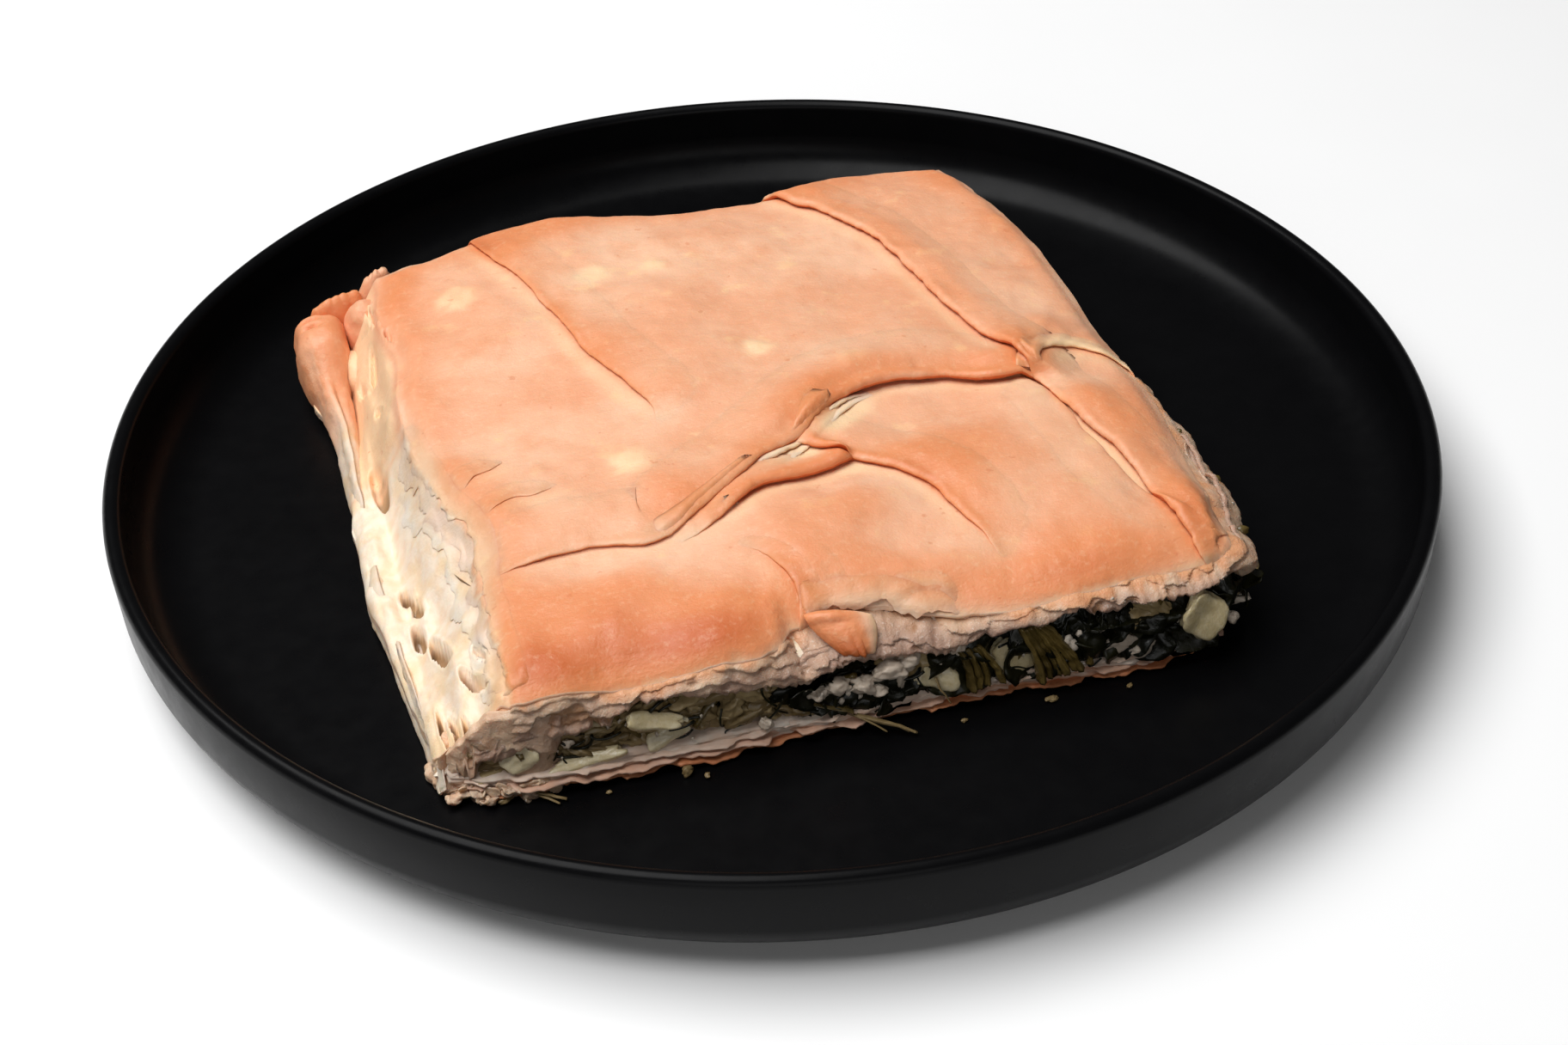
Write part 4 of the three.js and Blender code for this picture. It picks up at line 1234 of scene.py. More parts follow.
def torn_band(material):
    """The cut through the upper sheets in front: a soft apron of dough with a torn lower edge."""
    skin, below, top, low = upper_band(BAND_STEP)
    end = front_end(skin)
    skin, below, top, low = skin[:end], below[:end], top[:end] + 0.9, low[:end]
    position, out, x = lengths(skin), path_out(skin, 9), skin[:, 0]
    below = below + out * (0.9 * smooth(x, 58, 50))[:, None]
    hanging = teeth(position, (1.5, 4.2, 401, 0), (0.9, 1.5, 402, 0), (0.5, 0.7, 403, 0)) - 1.5
    side = smooth(x, 57.5, 59.5) * smooth(skin[:, 1], -14, -24)
    low = mix(low + hanging, 15.0 + 0.9 * noise(position, 0, 5, 416) + 0.5 * hanging, side)
    tall = np.maximum(top - low, 1.2)
    thin = smooth(x, 30, 40) * smooth(x, 56, 48)
    open_gap = smooth(x, -13, -9) * smooth(x, 24, 12)
    rings, tone, pit_shades, browned = [], [], [], []
    for q in np.linspace(0, 1, BAND_ROWS + 1):
        z = top - q * tall
        path = mix(skin, below, smooth(q, 0.0, 0.8))
        here = np.column_stack([path, z])
        push, relief, pit, shadow = band_row(q, position, z, here, tall, side, open_gap)
        rings.append(ring_at(path, out, push, z))
        # Painted shade: the tint darkens the band lower down and in the gap under the skin and lightens what
        # stands out; pit_shades darkens its pits and that gap.
        shade = 0.75 * smooth(q, 0, 0.7) * (1 - 0.8 * smooth(x, 55, 60)) + 0.25 * open_gap
        tone.append(shade + 0.25 * noise3(here, 3.0, 412) - 0.3 * np.clip(relief, -0.5, 0.6))
        pit_shades.append(0.7 * pit + 0.9 * shadow)
        depth = q * tall - noises(position, 0, (0.6, 4, 413), (0.4, 1.2, 414))
        browned.append(0.75 * smooth(depth, mix(1.7, 1.2, thin), 0.2) * (1 - open_gap))
    foot = rings[-1]
    rings += [ring_at(foot[:, :2], out, -inset, foot[:, 2] + rise) for inset, rise in BAND_BACK]
    rings.append(ring_at(skin, out, -3.2, top - 0.6))
    points, faces = closed_strip(rings)
    return make_piece("torn_band", points, faces, material, "upper_crust",
                      tint=strip_tint(tone + tone[-1:] * 4, 0.5, 1.2),
                      skin=strip_tint(browned + browned[-1:] * 4, 0.0),
                      hollow=strip_tint(pit_shades + [pit_shades[-1] + 0.4] * 4, 0.5))


# The front left corner under the slope: places along it, from the rim round to the cut.
CORNER_PATH = (
    (-67.6, -56.0), (-69.0, -59.2), (-68.2, -62.0), (-66.0, -64.0), (-63.0, -65.4), (-60.0, -66.3),
    (-56.0, -66.9), (-52.0, -66.8), (-49.0, -65.0),
)
# Along X: the corner's top, and how much further in it stands there than at its foot.
CORNER_TOP = (
    (-69.5, 10.0), (-67.5, 12.6), (-65.0, 15.2), (-62.5, 18.4), (-60, 20.6), (-56, 20.8), (-49, 20.0),
)
CORNER_SLANT = ((-69.5, 0.4), (-66, 1.2), (-62, 2.0), (-49, 1.6))
# The recess in the corner: its middle in X and Z, its half sizes.
CORNER_RECESS = (-59.8, 10.6, 3.7, 3.1)
CORNER_ROWS = 64
CORNER_DEPTH = 4.5


def corner_row(x, z, position, here):
    """One level of the corner: its lumps, its slits, its recess, and the apron and foot that stand out."""
    lumps = 0.7 * noise3(here * [1, 1, 0.6], 3.6, 440) + noises3(here, (0.16, 1.3, 441), (0.05, 0.5, 442))
    slit = smooth(noise(position + 0.12 * (z - 10), z * 0.16, 0.95, 443), 0.28, 0.55)
    slit = slit * smooth(x, -63.0, -64.6) * smooth(z, 6.4, 8.5) * smooth(z, 15.0, 12.5)
    middle_x, middle_z, wide, high = CORNER_RECESS
    away = np.hypot((x - middle_x) / wide, (z - middle_z) / high)
    recess = 1 - smooth(away + noises(x, z, (0.18, 1.9, 444), (0.08, 0.8, 445)), 0.72, 1.08)
    apron = 14.4 + noises(position, 0, (0.9, 2.9, 446), (0.5, 1.0, 447)) - 0.25 * (x + 60)
    hang = smooth(z - apron, -0.2, 0.2) * smooth(x, -65.5, -62.5)
    foot = smooth(z, 7.6, 6.2) * (0.7 + noises(position, 0, (0.8, 1.7, 448), (0.4, 0.8, 449)))
    return lumps, slit, recess, 0.9 * hang + foot


def corner_wall(material):
    """The torn corner: creamy dough with upright slits on its left, an open recess on its right."""
    path = spline(CORNER_PATH, 110)
    out, position = path_out(path, 9), lengths(path)
    x = path[:, 0]
    top, slant = through(CORNER_TOP, x), through(CORNER_SLANT, x)
    rings, tone, pit_shades = [], [], []
    for q in np.linspace(0, 1, CORNER_ROWS + 1):
        z = mix(top, BASE + 0.02, q)
        here = np.column_stack([path, z])
        lumps, slit, recess, standing = corner_row(x, z, position, here)
        push = lumps - 1.3 * slit - 3.4 * recess + standing - 0.4
        push = push - slant * (1 - q) ** 1.2 - 1.2 * smooth(q, 0.05, 0.0)
        rings.append(ring_at(path, out, push, z))
        # Painted shade in the slits and the recess; the tint is lighter on raised lumps, a painted highlight,
        # and darker towards the corner's right end.
        pit_shades.append(0.85 * slit + 0.75 * recess * (1 - 0.4 * np.clip(lumps, -1, 1)))
        tone.append(0.5 * smooth(x, -60, -53) + 0.1 * noise3(here, 3.0, 450) - 0.2 * np.clip(lumps, 0, 1))
    rings.append(ring_at(path, out, -CORNER_DEPTH, rings[-1][:, 2] + 0.2))
    rings.append(ring_at(path, out, -CORNER_DEPTH, top - 1.5))
    points, faces = closed_strip(rings)
    return make_piece("corner_wall", points, faces, material, "upper_crust", skin=np.zeros(len(points)),
                      tint=strip_tint(tone + [tone[-1], tone[0]], 0.2),
                      hollow=strip_tint(pit_shades + [pit_shades[-1], pit_shades[0]], 0.2))


def crust_layers(material):
    """Torn edges of the sheets under the skin, all round the cut sides."""
    heap = Heap()
    skin, below, top, low = upper_band(0.6)
    turn = front_end(skin)
    for curtains, part in ((FRONT_CURTAINS, slice(0, turn + 8)), (SIDE_CURTAINS, slice(turn - 8, None))):
        for k, (reach, push, thick) in enumerate(curtains):
            path = mix(skin[part], below[part], smooth(reach, 0.1, 0.8))
            position, out = lengths(path), path_out(path, 5)
            sizes = (1.7, 4.4, 220 + k, 3 * k), (0.9, 1.6, 230 + k, 0), (0.5, 0.7, 240 + k, 0)
            tip = mix(top[part], low[part], reach) + teeth(position, *sizes) - 1.2
            root = mix(top[part], low[part], max(reach - 0.5, 0.0)) + 0.2
            standing = push + noises(position, 0, (0.5, 7, 250 + k), (0.2, 2, 255 + k))
            path, root = path + out * standing[:, None], np.maximum(root, tip + 0.8)
            # The tint is painted shade, darker for a curtain that reaches lower.
            heap.add(*curtain(path, out, root, tip, thick, 260 + 2 * k), min(reach, 1) - 0.1)
    return heap.finish("crust_layers", material, "upper_crust")


def leaf(rng, long, wide, thickness, columns, rows, crumple):
    """One thin crumpled scrap with rounded ends: a cooked leaf, or a torn bit of dough."""
    u, v = np.meshgrid(np.linspace(-0.5, 0.5, columns + 1), np.linspace(-0.5, 0.5, rows + 1))
    seed = int(rng.integers(1, 9999))
    outline = np.sqrt(np.clip(1 - (2 * u) ** 2, 0.05, 1)) * (1 + 0.25 * noise(u * 9, v * 9, 1, seed))
    x, y = u * long, v * wide * outline
    waves = noises(x, y, (1.6, 3.6, seed + 1), (0.8, 1.6, seed + 2), (0.25, 0.7, seed + 3))
    bend = rng.uniform(-0.5, 0.5) * y**2 / wide + rng.uniform(-0.35, 0.35) * x**2 / long
    return sheet(np.stack([x, y, crumple * waves + bend], axis=-1), thickness)

# Torn scraps at the foot of the front left corner: place and half sizes.
CORNER_LUMPS = (
    ((-65.4, -65.0, 6.3), (2.0, 1.1, 0.8)), ((-61.6, -66.4, 6.3), (1.7, 1.0, 0.8)),
    ((-57.6, -67.0, 7.2), (1.9, 0.8, 0.7)), ((-54.0, -67.0, 7.8), (2.2, 0.8, 0.6)),
)
CUT_FLAKES, CORNER_FLAKES = 60, 40


def crust_flakes(rng, material):
    """Small torn scraps of dough over the cuts and at the foot of the front left corner."""
    heap = Heap()
    skin, below, top, low = upper_band(0.4)
    out = path_out(below)
    for _ in range(CUT_FLAKES):
        at = int(rng.uniform(0, len(skin)))
        q = rng.uniform(0.25, 1.05)
        n = np.array([*out[at], 0.0])
        on_cut = np.array([*mix(skin[at], below[at], smooth(q, 0.1, 0.8)), mix(top[at], low[at], q)])
        long = rng.uniform(1.5, 4.0)
        points, faces = leaf(rng, long, long * rng.uniform(0.4, 0.8), rng.uniform(0.3, 0.6), 12, 8, 0.3)
        forward = np.array([-n[1], n[0], rng.normal(0, 0.4)])
        axes = axes_from(forward, n + [0, 0, rng.uniform(-0.3, 0.9)])
        # The tint is painted shade, darker for a flake lower down the cut.
        heap.add(turned(points, axes, on_cut - (0.3 + q) * n), faces, np.clip(q, 0, 1))
    for _ in range(CORNER_FLAKES):
        place = np.array([rng.uniform(-68, -51), 0, rng.uniform(5.8, 7.6)])
        place[1] = through(LOWER_FRONT, place[0]) + rng.uniform(-0.6, 0.6)
        long = rng.uniform(1.0, 2.8)
        points, faces = leaf(rng, long, long * rng.uniform(0.5, 0.8), 0.3, 12, 8, 0.2)
        forward, up = rng.normal(0, 1, 3) + [1.5, 0, 0], rng.normal(0, 0.5, 3) - [0.3, 1, -0.6]
        heap.add(turned(points, axes_from(forward, up), place), faces, rng.uniform(0, 0.3))
    for k, (place, size) in enumerate(CORNER_LUMPS):
        points, faces = lump(size, 800 + k, level=4, bumps=0.4)
        points = points + place
        points = points + 0.5 * shaken(points, 1.1, 820 + k) + 0.2 * shaken(points, 0.5, 860 + k)
        points[:, 2] = np.maximum(points[:, 2], BASE)
        heap.add(points, faces, 0.1)
    return heap.finish("crust_flakes", material, "upper_crust")


# Loose flaps of the skin: four corners of each, round its edge, how far it bulges, its thickness, its
# brown. The first one hangs in front, the others lie at the back left corner.
FLAPS = (
    (((-11.6, -59.4, 24.8), (0.8, -62.0, 24.2), (-0.6, -67.2, 19.8), (-5.6, -66.6, 20.0)), 1.5, 1.2, 1.2),
    (((-73.4, 55.6, 11.0), (-61.6, 57.8, 12.6), (-62.6, 59.4, 21.0), (-72.2, 57.4, 19.6)), 1.5, 1.5, 0.9),
    (((-66.0, 57.6, 13.6), (-55.0, 60.2, 17.0), (-57.4, 61.8, 23.2), (-61.4, 61.2, 21.6)), 1.0, 1.7, 0.4),
)
# Pillows of dough at the back left corner: place, half sizes, turn, tilt, brown (below 0: pale), boxiness.
CORNER_ROLLS = (
    ((-62.8, 52.4, 15.0), (3.8, 4.6, 6.6), 10, 0, 0.25, 2.2),
    ((-66.2, 45.0, 10.4), (2.9, 5.6, 4.6), 8, 8, -0.7, 2.2),
    ((-60.4, 46.4, 20.6), (1.5, 6.0, 2.0), 8, 4, 0.1, 2.0),
)


def flap(k, u, v, corners, bulge, thick):
    """Points and faces of one loose flap over a grid from -1 to 1; the first one curls at its root."""
    rounded_u = mix(u, u * np.sqrt(1 - v * v / 2), 0.5)[..., None] / 2 + 0.5
    rounded_v = mix(v, v * np.sqrt(1 - u * u / 2), 0.5)[..., None] / 2 + 0.5
    a, b, c, d = (np.array(corner, float) for corner in corners)
    flat = mix(mix(a, b, rounded_u), mix(d, c, rounded_u), rounded_v)
    across = np.cross(b - a, d - a)
    outwards = across / np.linalg.norm(across) * (-1 if across[1] > 0 else 1)
    raised = bulge * (1 - u**2) * (1 - 0.6 * v**2) + 0.08 * noise3(flat, 0.9, 710 + k)
    raised = raised + (0.35 if k else 0.12) * noise3(flat, 2.6, 700 + k)
    if k == 0:
        raised = raised + 0.7 * bell((v + 0.72) / 0.2) * smooth(u, 0.6, -0.2)
    down = (d - a) / np.linalg.norm(d - a)
    ragged_end = 0.35 * noise(u * 6, 0 * u, 1, 720 + k)[..., None] * rounded_v * down
    edge = np.clip(np.minimum(1 - np.abs(u), 1 - np.abs(v)) * 4, 0, 1)
    return sheet(flat + raised[..., None] * outwards + ragged_end, thick * (0.3 + 0.7 * np.sqrt(edge)))


def turned_axes(turn, tilt=0.0):
    """Three unit rows turned about Z and then tilted about the first of them, in degrees."""
    a, b = math.radians(turn), math.radians(tilt)
    forward = [math.cos(a), math.sin(a), 0]
    sideways = [-math.sin(a) * math.cos(b), math.cos(a) * math.cos(b), math.sin(b)]
    return np.array([forward, sideways, [math.sin(a) * math.sin(b), -math.cos(a) * math.sin(b), math.cos(b)]])


def skin_flaps(material):
    """The orange flap torn loose in front, and the folds of the back left corner."""
    heap = Heap()
    u, v = np.meshgrid(np.linspace(-1, 1, 45), np.linspace(-1, 1, 33))
    for k, (corners, bulge, thick, brown) in enumerate(FLAPS):
        heap.add(*flap(k, u, v, corners, bulge, thick), brown)
    brown = FLAPS[0][-1]
    tone = brown * (0.75 + 0.85 * smooth(v, -0.4, 1)) * (1 - smooth(u, 0.2, 0.9)) - 0.7 * smooth(u, 0.5, 1)
    heap.tints[0] = np.concatenate([tone.ravel(), tone.ravel()])
    for k, (place, size, turn, tilt, brown, boxy) in enumerate(CORNER_ROLLS):
        points, faces = lump(size, 740 + k, level=5, bumps=0.05, square=boxy)
        points = points * (1 + 0.1 * noise3(points, 3.4, 760 + k)[:, None])
        points = points + 0.12 * shaken(points, 1.5, 780 + k)
        heap.add(turned(points, turned_axes(turn, tilt), place), faces, brown)
    tints = np.concatenate(heap.tints)
    heap.layers = {"brown": [np.maximum(tints, 0)], "pale": [np.maximum(-tints, 0)]}
    return heap.finish("skin_flaps", material, "upper_crust")


# ------------------------------------------------------------------ lower crust and its rim
# The upper face of the lower crust inside its edge: how far in, how much higher.
LOWER_INSIDE = ((14, 0.0), (6, 0.2), (2.5, 0.25))


def lower_lift(position):
    """How far the bottom sheets stand off the plate here and there."""
    return 0.5 * smooth(noise(position, 0, 11, 102), 0.0, 0.6)


def lower_crust(material):
    """The thin lower sheets, ragged where they are cut and brown underneath."""
    path = cut_path(LOWER_FRONT, 0.4, SLOPE_FOOT - 1)
    left = np.column_stack([np.full(120, SLOPE_FOOT - 1.0), np.linspace(path[-1, 1], path[0, 1], 122)[1:-1]])
    place = np.concatenate([path, left])
    out, position = outward(place, 14), lengths(place)
    top = lower_interface(place[:, 0], place[:, 1]) + 0.3 + 0.4 * noise(position, 0, 7, 101)
    rings = [ring_at(place, out, -inset, top + rise) for inset, rise in LOWER_INSIDE]
    brown = [np.zeros(len(place)) for _ in rings]
    for q in np.linspace(0, 1, 20):
        z = mix(top, BASE + 0.05 + lower_lift(position), q)
        here = np.column_stack([place, z * 2])
        ends = math.sin(math.pi * min(max(q, 0.08), 0.95)) ** 0.5
        rub = 0.3 * rough3(here, 2.0, 105) + 0.12 * noise3(here, 0.7, 106)
        push = (layered(position, q, 4, 103) * 0.9 + rub - 0.4) * ends - 0.5 * (1 - ends) - 0.9 * q
        rings.append(ring_at(place, out, push, z))
        brown.append(smooth(q, 0.5, 0.8) + 0.25 * noise(position, 0, 4, 106))
    rings.append(ring_at(place, out, -3, BASE))
    brown.append(np.ones(len(place)))
    points, faces = closed_stack(rings)
    return make_piece("lower_crust_sheets", points, faces, material, "lower_crust",
                      brown=np.clip(np.concatenate(brown + [[0.0, 1.0]]), 0, 1), hollow=np.zeros(len(points)))


# Bottom sheets from the top down: height over the base, how far they stand out, thickness, brown.
LOWER_LAYERS = ((2.9, -0.4, 0.55, 0.2), (1.7, 0.2, 0.6, 0.5), (0.55, -0.2, 0.7, 1.0))


def lower_layers(material):
    """Torn edges of the bottom sheets; the lowest one is baked brown."""
    path = cut_path(LOWER_FRONT, 0.6)
    position, out = lengths(path), path_out(path)
    heap = Heap()
    for k, (rise, push, thick, brown) in enumerate(LOWER_LAYERS):
        push = push + 0.9 * smooth(path[:, 0], 5, -25) * (path[:, 1] < -50)
        edge = path + out * (push + 0.8 * ragged(position, 300 + 5 * k, 1.6))[:, None]
        z = BASE + rise + lower_lift(position) + noises(position, 0, (0.25, 5, 320 + k), (0.15, 1.8, 330 + k))
        heap.add(*ribbon(edge, out, np.maximum(z, BASE + thick / 2 + 0.02), thick), brown)
    heap.layers = {"brown": heap.tints, "hollow": [0 * tint for tint in heap.tints]}
    return heap.finish("lower_crust_layers", material, "lower_crust")


# Dents pressed in the knob at the rim's back end: place and half sizes.
KNOB_DENTS = ((-72.8, 53.6, 1.5, 0.8), (-72.9, 51.0, 1.5, 0.8))
RIM_STATIONS, RIM_AROUND = 300, 56


def rim_section(angle):
    """A boxy round section: how far across and up it is at each angle, from -1 to 1."""
    wide, tall = np.cos(angle), np.sin(angle)
    return np.sign(wide) * np.abs(wide) ** 0.7, np.sign(tall) * np.abs(tall) ** 0.8


def rim(material):
    """The turned-up edge along the left side: pale and low in front, a browned roll behind."""
    y = np.linspace(FRONT + 1.5, BACK - 4, RIM_STATIONS)
    baked, outer = baked_share(y), rim_outer(y)
    knob = knob_share(y) * (1 - 0.35 * smooth(y, 54, 60))
    high = mix(RIM_HEIGHT - 2.6, ROLL_HEIGHT - 3.5, baked) + 0.5 * noise(y, 0, 9, 31)
    high = high - 1.6 * smooth(-y, 45, 66) + 1.2 * smooth(y, 6, 16) * (1 - baked) + 3.2 * knob
    inner = SLOPE_FOOT - 2.0 + 0.8 * noise(y, 3, 12, 34) + 1.2 * knob
    middle, half = (outer + inner) / 2, (inner - outer) / 2
    angle = np.linspace(0, 2 * math.pi, RIM_AROUND, endpoint=False)
    wide, tall = rim_section(angle)
    away = np.column_stack([np.cos(angle), np.zeros(RIM_AROUND), np.sin(angle)])
    ends = np.minimum(1, np.sqrt(np.clip(np.minimum((y - y[0]) / 3.0, (y[-1] - y) / 6.5), 0.02, 1)))
    rings, tints = [], {"brown": [], "cut": [], "hollow": []}
    for k in range(RIM_STATIONS):
        raw = 1 - baked[k]
        lean = 1 - 0.18 * raw * smooth(wide, -0.6, 1.0)
        x = middle[k] + half[k] * wide * ends[k] + 1.1 * raw * smooth(tall, -1, 0.6) * (wide < 0)
        z = BASE + high[k] / 2 * (1 + tall * ends[k]) * lean
        here = np.column_stack([x, np.full(RIM_AROUND, y[k]), z])
        crumple = 0.35 * rough3(here * [1, 0.4, 1], 4.0, 111) + 0.08 * rough3(here, 1.3, 112)
        roped = smooth(y[k], 49, 42)
        rope = baked[k] * 0.75 * np.abs(np.cos((3 * angle + y[k] / 5.0) / 2)) * roped
        dent = sum(bell(((x - px) / wd) ** 2 + ((y[k] - py) / lg) ** 2) for px, py, wd, lg in KNOB_DENTS)
        dent = dent * (z > BASE + high[k] * 0.5)
        here = here + (crumple + rope - 1.3 * dent)[:, None] * away
        here[:, 2] = np.maximum(here[:, 2], BASE)
        rings.append(here)
        tone = smooth(y[k] + 4 * crumple, 24, 44) * (0.55 + 0.3 * smooth(crumple, -0.4, 0.5))
        tints["brown"].append(tone + 0.7 * dent - 0.5 * baked[k] * (rope < 0.25) * roped)
        tints["cut"].append(1 - smooth(y[k] + 5 * crumple, 20, 38))
        # Painted shade: darker in the knob's dents and over the whole pale front of the rim.
        tints["hollow"].append(np.clip(0.8 * dent + 0.46 * raw, 0, 1))
    points, faces = closed_stack(rings)
    tints = {key: np.concatenate(values + [[0.0, 0.6]]) for key, values in tints.items()}
    return make_piece("crust_rim", points, faces, material, "lower_crust", **tints)


# ------------------------------------------------------------------ filling
# How far inside the skin's edge the filling ends on the right and at the back.
RIGHT_INSET, BACK_INSET = 0.8, 1.2
# Where pieces are strewn along each cut side.
SIDES = {"front": (-57, 60), "right": (-62, 60), "back": (-54, 54)}
# Where the spinach gives way to the olive mass of the pan's side.
SPINACH_END = -14


def face_point(side, along):
    """A place on one of the cut faces of the filling, and the direction out of it."""
    if side == "front":
        return np.array([along, float(through(FILL_FRONT, along))]), np.array([0.0, -1.0])
    if side == "right":
        edge = float(through(RIGHT_EDGE, along) + right_bulge(along)) - RIGHT_INSET
        return np.array([edge, along]), np.array([1.0, 0.0])
    return np.array([along, float(through(BACK_EDGE, along)) - BACK_INSET]), np.array([0.0, 1.0])


# The core's outline along each cut side: start, end, number of places.
CORE_SPANS = (("front", -60, 60, 200), ("right", -61, 60, 160), ("back", 54, -58, 150))


def filling_core(material):
    """What is behind the pieces that show: a dark wet mass, set back from the cuts."""
    shown = [face_point(side, at) for side, *span in CORE_SPANS for at in np.linspace(*span)]
    place = np.array([p - (4.2 if n[1] < 0 and p[0] < -12 else 2.6) * n for p, n in shown])
    left = np.column_stack([np.full(60, -57.5), np.linspace(place[-1, 1], place[0, 1], 62)[1:-1]])
    place = np.concatenate([place, left])
    out, (x, y) = outward(place, 12), place.T
    top = np.minimum(upper_interface(x, y) + 1.0, top_sheet(x, y)[0] - 4.0)
    rings = []
    for q in np.linspace(0, 1, 16):
        here = np.column_stack([place, mix(top, BASE + 1.5, q)])
        push = 1.4 * rough3(here * [1, 1, 1.6], 4.5, 121) + 0.4 * noise3(here, 1.1, 122)
        rings.append(ring_at(place, out, push, here[:, 2]))
    points, faces = closed_stack(rings)
    tint = (0.5 + 0.5 * noise3(points, 5.0, 123)) * 0.4
    tint = np.clip(tint + smooth(-points[:, 0], 5, 35) * (points[:, 1] < -50), 0, 1.4)
    return make_piece("filling_core", points, faces, material, "filling", tint=tint)


def spot(rng, side, low, high, along=None):
    """A random place on a cut face between the crusts: the point, outward and sideways directions."""
    start, end = SIDES[side]
    at = rng.uniform(start, end) if along is None else along
    point, out = face_point(side, at)
    floor = float(lower_interface(*point)) + 0.4
    roof = float(upper_interface(*point)) - 0.2
    z = mix(floor, max(roof, floor + 1.0), rng.uniform(low, high))
    return np.array([*point, z]), np.array([*out, 0.0]), np.array([-out[1], out[0], 0.0])


def strewn(**counts):
    """The side and number of each piece, for so many pieces on each side."""
    return [(side, k) for side, count in counts.items() for k in range(count)]


def upwards(height):
    """A step straight up."""
    return np.array([0, 0, height])


def kept_inside(points):
    """Leaves drawn in from the front cut, from the crusts, and from the back right corner."""
    x, y, z = points.T
    z = np.where(z > 15, np.minimum(z, top_sheet(x, y)[0] - 1.8), z)
    y = np.maximum(y, through(FILL_FRONT, x) - 1.8 + 0.4 * noise(x, z, 1.2, 140))
    z = np.maximum(z, BASE + 2.2 + 0.4 * noise(x, y, 1.4, 141))
    past = np.maximum(np.column_stack([x, y]) - (54, 57), 0)
    limit = 9.5 + 4.0 * smooth(y, 58, 48)
    past = past * (1 - np.minimum(1, limit / np.maximum(np.hypot(*past.T), 0.001)))[:, None]
    return np.column_stack([x - past[:, 0], y - past[:, 1], z])


def leaves(rng, material):
    """Cooked spinach: crumpled leaves, folded over one another."""
    heap = Heap()
    for side, _ in strewn(front=92, right=42, back=32):
        point, out, along = spot(rng, side, 0.06, 0.92)
        if side == "front" and point[0] < SPINACH_END:
            continue
        points, faces = leaf(rng, rng.uniform(7, 16), rng.uniform(5, 9), 0.24, 16, 9, 1.1)
        tilt = rng.normal(0, 0.5, 3)
        forward = along * rng.choice([-1, 1]) + 0.6 * tilt
        axes = axes_from(forward, out + upwards(rng.uniform(-0.1, 0.6)) + 0.3 * tilt)
        points = turned(points, axes, point - out * rng.uniform(0.3, 1.9))
        points[:, 2] = np.clip(points[:, 2], BASE + 2.6, float(upper_interface(*point[:2])) + 0.4)
        heap.add(points, faces, np.clip(rng.normal(0.2, 0.25), 0, 1))
    heap.points = [kept_inside(np.concatenate(heap.points))]
    return heap.finish("spinach_leaves", material, "filling")


# How many of the lumps in front lie on the pan's side, and where those are.
PAN_SIDE_LUMPS, PAN_SIDE = 68, (-60, -8)


def mash(rng, material):
    """Soft olive mass of cooked greens and onion between the pieces, most of it at the pan's side."""
    heap = Heap()
    for side, k in strewn(front=78, right=10, back=10):
        in_front = side == "front"
        along = rng.uniform(*PAN_SIDE) if in_front and k < PAN_SIDE_LUMPS else None
        point, out, _ = spot(rng, side, 0.0, 1.0, along)
        size = rng.uniform(0.9, 2.4) * np.array([rng.uniform(1.2, 2.2), 0.9, rng.uniform(0.4, 0.9)])
        points, faces = lump(size, 900 + k, level=4 if in_front else 3, bumps=0.5)
        points = points + 0.3 * shaken(points, 0.9, 930 + k)
        turn = axes_from(np.array([-out[1], out[0], rng.normal(0, 0.4)]), [0, 0, 1])
        points = turned(points, turn, point - out * rng.uniform(0.9, 2.2))
        heap.add(points, faces, rng.uniform(0, 1))
    return heap.finish("olive_mash", material, "filling")


def curve3(start, end, bend, steps=14):
    """Points from start to end, bowed by a third point's pull."""
    start, end, bend = (np.array(p, float) for p in (start, end, bend))
    return bowed(start, (start + end) / 2 + bend, end, steps)


def bowed(a, b, c, steps):
    """Points of a curve from a to c, drawn towards b."""
    t = np.linspace(0, 1, steps)[:, None]
    a, b, c = np.array(a), np.array(b), np.array(c)
    return (1 - t) ** 2 * a + 2 * t * (1 - t) * b + t**2 * c


# Stalks that show in the front cut: top end, bottom end, radius, tint.
FRONT_STALKS = (
    ((33.0, -65.6, 13.6), (34.0, -66.4, 9.2), 0.6, 0.6), ((-11, -65.4, 11.4), (-4.5, -66.6, 9.2), 0.8, 0.15),
)
# Fans of stalks: how many, top and bottom of the first one, steps from one to the next, radius.
STALK_FANS = (
    (6, (22.2, -66.2, 18.8), (26.2, -66.9, 9.0), (0.75, 0.05, 0.05), (1.3, 0.05, 0.05), 1.15),
    (4, (12.8, -65.6, 16.6), (14.6, -66.6, 9.2), (1.05, 0.03, 0.05), (1.5, 0.05, 0.1), 1.05),
)


